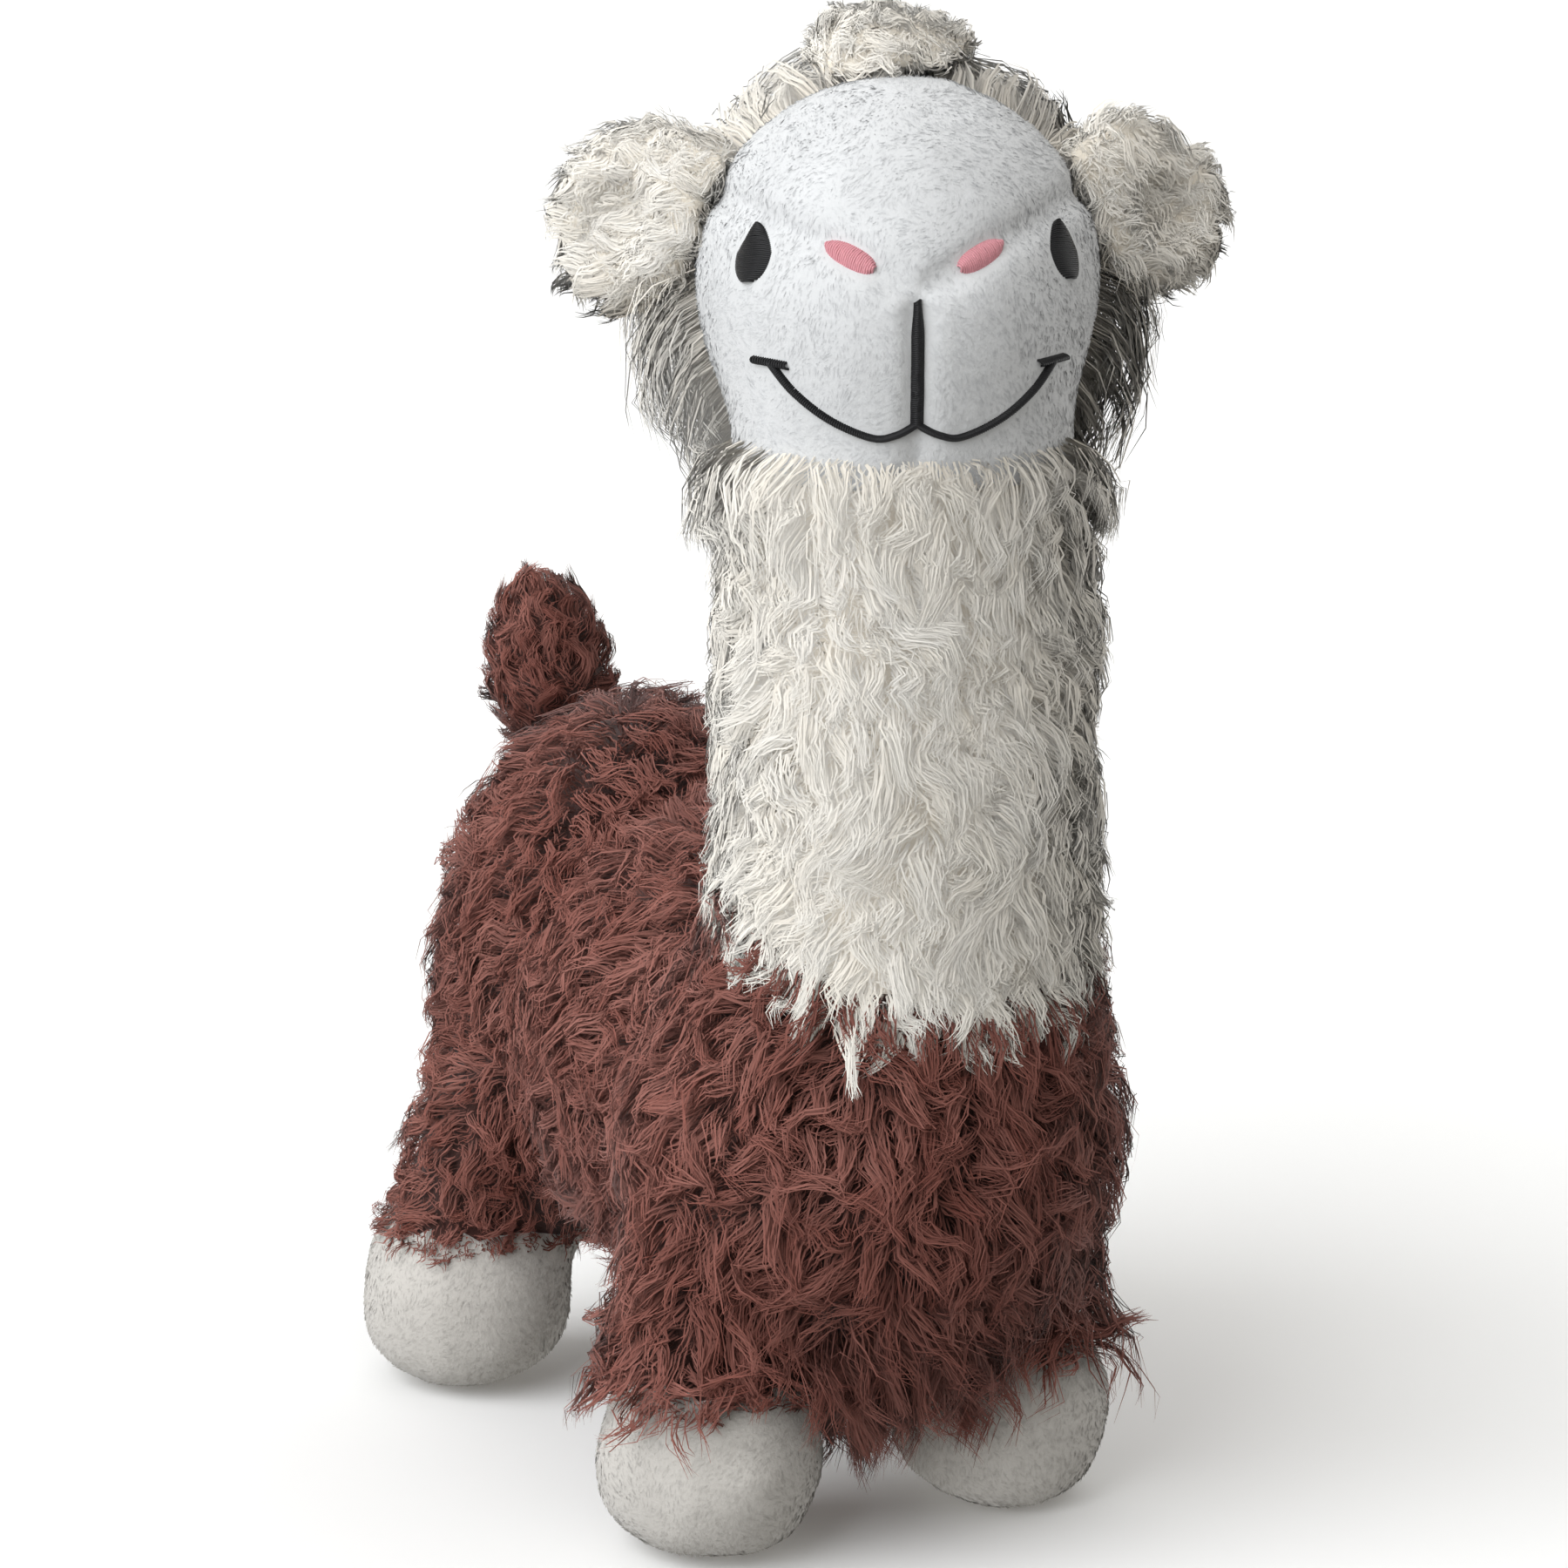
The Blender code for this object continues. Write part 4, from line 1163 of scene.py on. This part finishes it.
def fleece_trim(place, normal):
    """Long on the cheeks and the crown, shorter down the neck."""
    across, _, _ = head_axes()
    face = middle_of(*FACE_PANELS)
    sideways = smooth_share(abs((place - face).dot(across)), 0.016, 0.030)
    cheek = smooth_share(place.z, 0.190, 0.205) * (1 - smooth_share(place.z, 0.228, 0.245))
    crown = smooth_share(place.z, 0.232, 0.248)
    uneven = 1 + 0.22 * noise.noise(place / 0.008)
    return (0.66 + 1.0 * sideways * cheek + 0.40 * crown) * uneven


def ear_lay(outward):
    """The lay of an ear's pile, which runs out to the ear's edge and down."""
    return lambda place, normal: outward + Vector((0, 0, -0.75)) + swirl(place, 0.012, 0.6)


def foot_share(place):
    """0 at the feet's seams, and 1 a little above them."""
    return smooth_share(place.z, 0.030, 0.050)


# Operators


def staged(name, shape, material):
    """A piece of the stage, which throws no light back onto the toy. The bmesh is freed."""
    piece = placed(name, as_mesh(shape, name))
    piece.data.materials.append(material)
    piece.visible_diffuse = False
    return piece


class ALPACA_OT_stage(Operator):
    """Adds the floor, the lights and the camera"""

    bl_idname = "alpaca.stage"
    bl_label = "Stage"

    def execute(self, context):
        settings = context.scene.alpaca_stage
        floor = bmesh.new()
        bmesh.ops.create_grid(floor, x_segments=1, y_segments=1, size=FLOOR_REACH)
        material, _, shader = new_material("pale_floor")
        shader.inputs["Base Color"].default_value = (0.93, 0.93, 0.93, 1)
        shader.inputs["Roughness"].default_value = 0.9
        staged("floor", floor, material)
        wall = bmesh.new()
        bmesh.ops.create_cone(wall, segments=64, radius1=BACKDROP_RADIUS, radius2=BACKDROP_RADIUS,
                              depth=BACKDROP_HEIGHT)
        material, _, shader = new_material("pale_backdrop")
        shader.inputs["Base Color"].default_value = (0, 0, 0, 1)
        shader.inputs["Emission Color"].default_value = (1, 1, 1, 1)
        shader.inputs["Emission Strength"].default_value = 1.0
        backdrop = staged("backdrop", wall, material)
        backdrop.visible_glossy = False
        backdrop.visible_shadow = False
        lights = (
            ("key", (-0.90, -0.12, 0.52), math.radians(70), settings.key, (0.96, 0.98, 1.0)),
            ("top", (-0.25, 0.0, 1.0), math.radians(120), settings.key * 0.26, (1.0, 0.99, 0.97)),
            ("fill", (0.80, 0.50, 0.42), math.radians(120), settings.key * 0.20, (1.0, 1.0, 1.0)),
        )
        for name, place, angle, strength, colour in lights:
            lamp = bpy.data.lights.new(name, "SUN")
            lamp.angle = angle
            lamp.color = colour
            lamp.energy = strength
            light = placed(name, lamp)
            light.rotation_euler = Vector(place).to_track_quat("Z", "Y").to_euler()
        world = bpy.data.worlds.new("studio")
        world.use_nodes = True
        world.node_tree.nodes["Background"].inputs["Color"].default_value = (1, 0.985, 0.94, 1)
        world.node_tree.nodes["Background"].inputs["Strength"].default_value = 0.40
        context.scene.world = world
        context.scene.view_settings.view_transform = "Standard"
        data = bpy.data.cameras.new("camera")
        data.angle = settings.field
        camera = placed("camera", data)
        around, above = settings.azimuth, settings.elevation
        level = Vector((math.sin(around), -math.cos(around), 0))
        back = level * math.cos(above) + Vector((0, 0, math.sin(above)))
        camera.location = Vector(settings.target) + back * settings.distance
        camera.rotation_euler = (-back).to_track_quat("-Z", "Y").to_euler()
        context.scene.camera = camera
        return {"FINISHED"}


class ALPACA_OT_inside(Operator):
    """Finishes the filling and the squeaker inside the toy"""

    bl_idname = "alpaca.inside"
    bl_label = "Filling and squeaker"

    def execute(self, context):
        fibre = plush_material("white_filling_fibre", (0.9, 0.9, 0.9))
        plastic = thread_material("clear_squeaker_plastic", (0.8, 0.84, 0.84), 0.3)
        for name, material in {**dict.fromkeys(FILLINGS, fibre), "squeaker": plastic}.items():
            materials = frame["nodes"][name].data.materials
            materials.clear()
            materials.append(material)
        return {"FINISHED"}


def grow_nap(name, roots, material, settings, seed):
    """The short fibres of white plush over a piece."""
    fibres = grown_pile(name, roots, material, {
        "Length": settings.length,
        "Width": settings.width,
        "Density": settings.density,
        "Clump Distance": 0.003,
        "Clumping": 0.15,
        "Lock Turn": 0.8,
        "Curl Radius": 0.0,
        "Flow": 0.0004,
        "Flow Size": 0.004,
        "Frizz": 0.0001,
        "Root Angle": 1.15,
        "Tip Angle": 1.56,
        "Fray": 0.0002,
        "Segments": 2,
        "Seed": bpy.context.scene.alpaca_stage.seed + seed,
    }, NAP_SOFTNESS)
    fibres.visible_shadow = False


def grow_coat(name, roots, slot, seed, **changes):
    """A piece of long pile with the settings of its slot, apart from the changes given for it."""
    if slot == "brown_long_pile":
        settings, material = bpy.context.scene.alpaca_coat, brown_pile()
    else:
        settings, material = bpy.context.scene.alpaca_fleece, cream_pile()
    values = {
        "Length": settings.length,
        "Width": settings.width,
        "Density": settings.density,
        "Clump Distance": settings.clump,
        "Curl Radius": settings.curl,
        "Flow": settings.flow,
        "Seed": bpy.context.scene.alpaca_stage.seed + seed,
        "Segments": 5,
    }
    for key, value in changes.items():
        values[key.replace("_", " ").title()] = value
    coat = grown_pile(name, roots, material, values)
    coat.visible_shadow = slot != "cream_long_pile"


def grow_undercoat(name, roots, slot, settings, seed, share):
    """A short dense coat that fills the gaps between the locks."""
    grow_coat(
        name, roots, slot, seed,
        length=settings.length * 0.5, density=settings.density * share, clump_distance=0.0024,
        clumping=0.45, lock_turn=0.9, curl_radius=0.0006, curl_turns=0.7, flow=settings.flow * 0.5,
        flow_size=0.005, frizz=0.0008, root_angle=0.12, tip_angle=1.8, fray=0.0012, segments=3,
    )


class ALPACA_OT_body(Operator):
    """Makes the brown coat of the body and the belly"""

    bl_idname = "alpaca.body"
    bl_label = "Brown coat"

    def execute(self, context):
        settings = context.scene.alpaca_coat
        for order, name in enumerate(BROWN_PANELS):
            cloth = lapped_backing(name)
            padded_piece(f"{name}_backing", cloth, brown_cloth(), "brown_long_pile", 0.8, name)
            roots = combed(skin_part([name], 1), coat_lay, coat_trim, full)
            under = roots.copy()
            gusset = name == "belly_gusset"
            grow_coat(
                f"{name}_coat", roots, "brown_long_pile", order,
                density=settings.density * (0.6 if gusset else 1), clumping=0.84, lock_turn=0.9,
                curl_turns=0.8, flow_size=0.007, frizz=0.0012, root_angle=0.12,
                tip_angle=1.2 if gusset else 2.25, fray=0.0009,
            )
            grow_undercoat(f"{name}_undercoat", under, "brown_long_pile", settings, order + 5,
                           0.3 if gusset else 0.7)
        return {"FINISHED"}


class ALPACA_OT_hanging(Operator):
    """Makes the long brown locks that hang between the front feet"""

    bl_idname = "alpaca.hanging"
    bl_label = "Hanging locks"

    def execute(self, context):
        settings = context.scene.alpaca_coat

        def cover(place, normal):
            below = smooth_share(-normal.z, 0.05, 0.35) * smooth_share(-place.z, -0.052, -0.040)
            front = smooth_share(-place.y, 0.034, 0.046) * (1 - smooth_share(-place.y, 0.076, 0.088))
            return below * front * (1 - smooth_share(abs(place.x + 0.010), 0.014, 0.024))

        roots = combed(
            skin_part(BROWN_PANELS),
            lambda place, normal: Vector((0, -0.5, -1)) + swirl(place, 0.010, 1.0),
            full,
            cover,
        )
        grow_coat(
            "hanging_locks", roots, "brown_long_pile", 81,
            length=settings.length * 1.8, density=settings.density * 2.0, clumping=0.85, lock_turn=0.6,
            flow_size=0.007, frizz=0.0007, root_angle=0.05, tip_angle=0.8, fray=0.0012,
        )
        return {"FINISHED"}


class ALPACA_OT_neck(Operator):
    """Makes the cream fleece of the neck and the back of the head"""

    bl_idname = "alpaca.neck"
    bl_label = "Cream fleece"

    def execute(self, context):
        settings = context.scene.alpaca_fleece
        for order, name in enumerate(CREAM_PANELS):
            cloth = lapped_backing(name)
            padded_piece(f"{name}_backing", cloth, cream_cloth(), "cream_long_pile", 0.8, name)
            roots = combed(skin_part([name], 2), fleece_lay, fleece_trim, full)
            under = roots.copy()
            grow_coat(
                f"{name}_fleece", roots, "cream_long_pile", order + 31,
                clumping=0.70, lock_turn=0.5, curl_turns=1.0, flow_size=0.010, frizz=0.0010,
                root_angle=0.2, tip_angle=1.95, fray=0.0011,
            )
            grow_undercoat(f"{name}_underfleece", under, "cream_long_pile", settings, order + 35, 0.6)
        return {"FINISHED"}


class ALPACA_OT_face(Operator):
    """Makes the white plush face, with its seams drawn in"""

    bl_idname = "alpaca.face"
    bl_label = "Face"

    def execute(self, context):
        shape = skin_part(FACE_PANELS, 1)
        fine = as_bmesh(with_modifiers(shape, ("SUBSURF", {"levels": 1, "render_levels": 1})))
        pushed_out(fine, seam_crease)
        face = walled(fine, PLUSH_WALL)
        padded_piece("face", face, face_plush(), "white_short_plush", 0.85, *FACE_PANELS)
        return {"FINISHED"}


class ALPACA_OT_feet(Operator):
    """Makes the four white plush feet"""

    bl_idname = "alpaca.feet"
    bl_label = "Feet"

    def execute(self, context):
        for order, name in enumerate(FEET):
            shape = skin_part([name], 1)
            pushed_out(shape, foot_lump)
            roots = combed(shape.copy(), plush_lay, full, full)
            grow_nap(f"{name}_nap", roots, foot_fibre(), context.scene.alpaca_plush, 92 + order)
            foot = walled(shape, PLUSH_WALL)
            padded_piece(f"{name}_plush", foot, foot_plush(), "white_short_plush", 0.85, name)
        return {"FINISHED"}


class ALPACA_OT_ears(Operator):
    """Makes the two cream ears"""

    bl_idname = "alpaca.ears"
    bl_label = "Ears"

    def execute(self, context):
        settings = context.scene.alpaca_fleece
        head = middle_of(*FACE_PANELS, *CREAM_PANELS)
        for side, sign in SIDES.items():
            halves = (f"ear_front_{side}", f"ear_back_{side}")
            core = padded_core(halves, EAR_VOXEL)
            outward = middle_of(*halves) - Vector((head.x, head.y, middle_of(*halves).z))
            forward = (middle_of(halves[0]) - middle_of(halves[1])).normalized()
            closer = 0.06 if side == "left" else 0.0

            def trim(place, normal):
                return (0.32 if normal.dot(forward) > 0.35 else 0.44) - closer

            roots = combed(as_bmesh(core.copy()), ear_lay(outward.normalized()), trim, full)
            padded_piece(f"ear_{side}_backing", core, cream_cloth(), "cream_long_pile", 0.5, *halves)
            grow_undercoat(f"ear_{side}_underfleece", roots.copy(), "cream_long_pile", settings,
                           55 + sign, 1.6)
            grow_coat(
                f"ear_{side}_fleece", roots, "cream_long_pile", 50 + sign,
                density=settings.density * 1.2, clump_distance=0.0038, clumping=0.7, lock_turn=0.5,
                curl_turns=0.8, flow=settings.flow * 0.6, flow_size=0.007, frizz=0.0006, root_angle=0.35,
                tip_angle=1.85, fray=0.0010,
            )
        return {"FINISHED"}


class ALPACA_OT_tail(Operator):
    """Makes the short brown tail"""

    bl_idname = "alpaca.tail"
    bl_label = "Tail"

    def execute(self, context):
        settings = context.scene.alpaca_coat
        core = padded_core(["tail"], TUFT_VOXEL)
        roots = combed(
            as_bmesh(core.copy()),
            lambda place, normal: Vector((0, 0.15, 1)) + swirl(place, 0.012, 0.8),
            lambda place, normal: 0.55,
            full,
        )
        padded_piece("tail_backing", core, brown_cloth(), "brown_long_pile", 0.6, "tail")
        grow_undercoat("tail_undercoat", roots.copy(), "brown_long_pile", settings, 63, 1.5)
        grow_coat(
            "tail_coat", roots, "brown_long_pile", 61,
            density=settings.density * 1.8, clump_distance=0.0036, clumping=0.88, lock_turn=0.7,
            curl_turns=0.8, flow=settings.flow * 0.7, flow_size=0.006, frizz=0.0006, root_angle=0.3,
            tip_angle=2.0, fray=0.0009,
        )
        return {"FINISHED"}


class ALPACA_OT_topknot(Operator):
    """Makes the cream tuft on top of the head"""

    bl_idname = "alpaca.topknot"
    bl_label = "Topknot"

    def execute(self, context):
        settings = context.scene.alpaca_fleece
        core = padded_core(["topknot"], TUFT_VOXEL)
        _, backward, upward = head_axes()
        roots = combed(
            as_bmesh(core.copy()),
            lambda place, normal: upward * 0.1 - backward * 0.5 + swirl(place, 0.010, 1.3),
            lambda place, normal: 0.31,
            full,
        )
        padded_piece("topknot_backing", core, cream_cloth(), "cream_long_pile", 0.5, "topknot")
        grow_undercoat("topknot_underfleece", roots.copy(), "cream_long_pile", settings, 73, 1.5)
        grow_coat(
            "topknot_fleece", roots, "cream_long_pile", 71,
            density=settings.density * 1.7, clump_distance=0.0044, clumping=0.8, lock_turn=0.5,
            curl_turns=1.0, flow=settings.flow * 0.8, flow_size=0.008, frizz=0.0007, root_angle=0.3,
            tip_angle=1.9, fray=0.0012,
        )
        return {"FINISHED"}


class ALPACA_OT_embroidery(Operator):
    """Stitches the eyes, the nose and the mouth on the face"""

    bl_idname = "alpaca.embroidery"
    bl_label = "Embroidery"

    def execute(self, context):
        settings = context.scene.alpaca_thread
        black = thread_material("black_satin_thread", settings.black, 0.38)
        pink = thread_material("pink_satin_thread", settings.pink, 0.5)
        face = bmesh.new()
        face.from_mesh(bpy.data.objects["face"].data)
        surface = BVHTree.FromBMesh(face)
        face.free()
        across, _, upward = head_axes()
        for side, sign in SIDES.items():
            tall = (-sign * EYE_LEAN * across + upward).normalized()
            rows = oval_rows(middle_of(f"eye_{side}"), across, tall, EYE_WIDTH, EYE_HEIGHT, EYE_POINT)
            stitched(f"eye_{side}", rows, surface, black)
            slope = (sign * across * math.cos(NOSE_SLOPE) + upward * math.sin(NOSE_SLOPE)).normalized()
            flat = slope.cross(across.cross(upward)).normalized()
            nostril = middle_of(f"nostril_{side}")
            rows = oval_rows(nostril, flat, slope, NOSTRIL_HEIGHT, NOSTRIL_WIDTH, 0)
            stitched(f"nostril_{side}", rows, surface, pink)
        line_top, line_foot = mouth_ends(upward)
        steps = range(MOUTH_STEPS + 1)
        spine = [line_top.lerp(line_foot, step / MOUTH_STEPS) for step in steps]
        widths = [MOUTH_WIDTH * (0.55 + 0.45 * smooth_share(step, 0, 18)) for step in steps]
        rows = stroke_rows(spine, widths, across, upward)
        stitched("mouth_line", rows, surface, black)
        for side, sign in SIDES.items():
            spine, widths = smile_path(line_foot, across * sign, upward)
            rows = stroke_rows(spine, widths, across, upward)
            stitched(f"smile_{side}", rows, surface, black)
        return {"FINISHED"}


class ALPACA_OT_face_nap(Operator):
    """Grows the short fibres of the face, clear of the embroidery"""

    bl_idname = "alpaca.face_nap"
    bl_label = "Face nap"

    def execute(self, context):
        threads = bmesh.new()
        for obj in bpy.data.objects:
            if obj.name.endswith("_stitches"):
                threads.from_mesh(obj.data)
        tree = BVHTree.FromBMesh(threads)
        threads.free()

        def cover(place, normal):
            near = tree.find_nearest(place, NAP_REACH)
            return 1.0 if near[3] is None else smooth_share(near[3], NAP_CLEARANCE, NAP_REACH)

        shape = skin_part(FACE_PANELS)
        fine = as_bmesh(with_modifiers(shape, ("SUBSURF", {"levels": 2, "render_levels": 2})))
        pushed_out(fine, seam_crease)
        roots = combed(fine, plush_lay, full, cover)
        grow_nap("face_nap", roots, face_fibre(), context.scene.alpaca_plush, 91)
        return {"FINISHED"}


class ALPACA_PT_panel(Panel):
    """The alpaca toy's pieces and settings"""

    bl_idname = "ALPACA_PT_panel"
    bl_label = "Alpaca Toy"
    bl_space_type = "VIEW_3D"
    bl_region_type = "UI"
    bl_category = "Alpaca Toy"

    def draw(self, context):
        for operator in OPERATORS:
            self.layout.operator(operator.bl_idname)
        for name in SETTINGS:
            group = getattr(context.scene, name)
            box = self.layout.box()
            for key in group.__annotations__:
                box.prop(group, key)


OPERATORS = (
    ALPACA_OT_stage,
    ALPACA_OT_inside,
    ALPACA_OT_face,
    ALPACA_OT_feet,
    ALPACA_OT_body,
    ALPACA_OT_hanging,
    ALPACA_OT_neck,
    ALPACA_OT_ears,
    ALPACA_OT_tail,
    ALPACA_OT_topknot,
    ALPACA_OT_embroidery,
    ALPACA_OT_face_nap,
)
SETTINGS = {
    "alpaca_coat": CoatSettings,
    "alpaca_fleece": FleeceSettings,
    "alpaca_plush": PlushSettings,
    "alpaca_thread": ThreadSettings,
    "alpaca_stage": StageSettings,
}


def register():
    for group in SETTINGS.values():
        bpy.utils.register_class(group)
    for name, group in SETTINGS.items():
        setattr(bpy.types.Scene, name, PointerProperty(type=group))
    for operator in OPERATORS:
        bpy.utils.register_class(operator)
    bpy.utils.register_class(ALPACA_PT_panel)


def unregister():
    bpy.utils.unregister_class(ALPACA_PT_panel)
    for operator in reversed(OPERATORS):
        bpy.utils.unregister_class(operator)
    for name, group in reversed(SETTINGS.items()):
        delattr(bpy.types.Scene, name)
        bpy.utils.unregister_class(group)


def main():
    register()
    bpy.ops.alpaca.stage()
    bpy.ops.alpaca.inside()
    bpy.ops.alpaca.face()
    bpy.ops.alpaca.feet()
    bpy.ops.alpaca.body()
    bpy.ops.alpaca.hanging()
    bpy.ops.alpaca.neck()
    bpy.ops.alpaca.ears()
    bpy.ops.alpaca.tail()
    bpy.ops.alpaca.topknot()
    bpy.ops.alpaca.embroidery()
    bpy.ops.alpaca.face_nap()
    bpy.data.meshes.remove(bpy.data.meshes["stuffed_skin"])


if __name__ == "__main__":
    main()
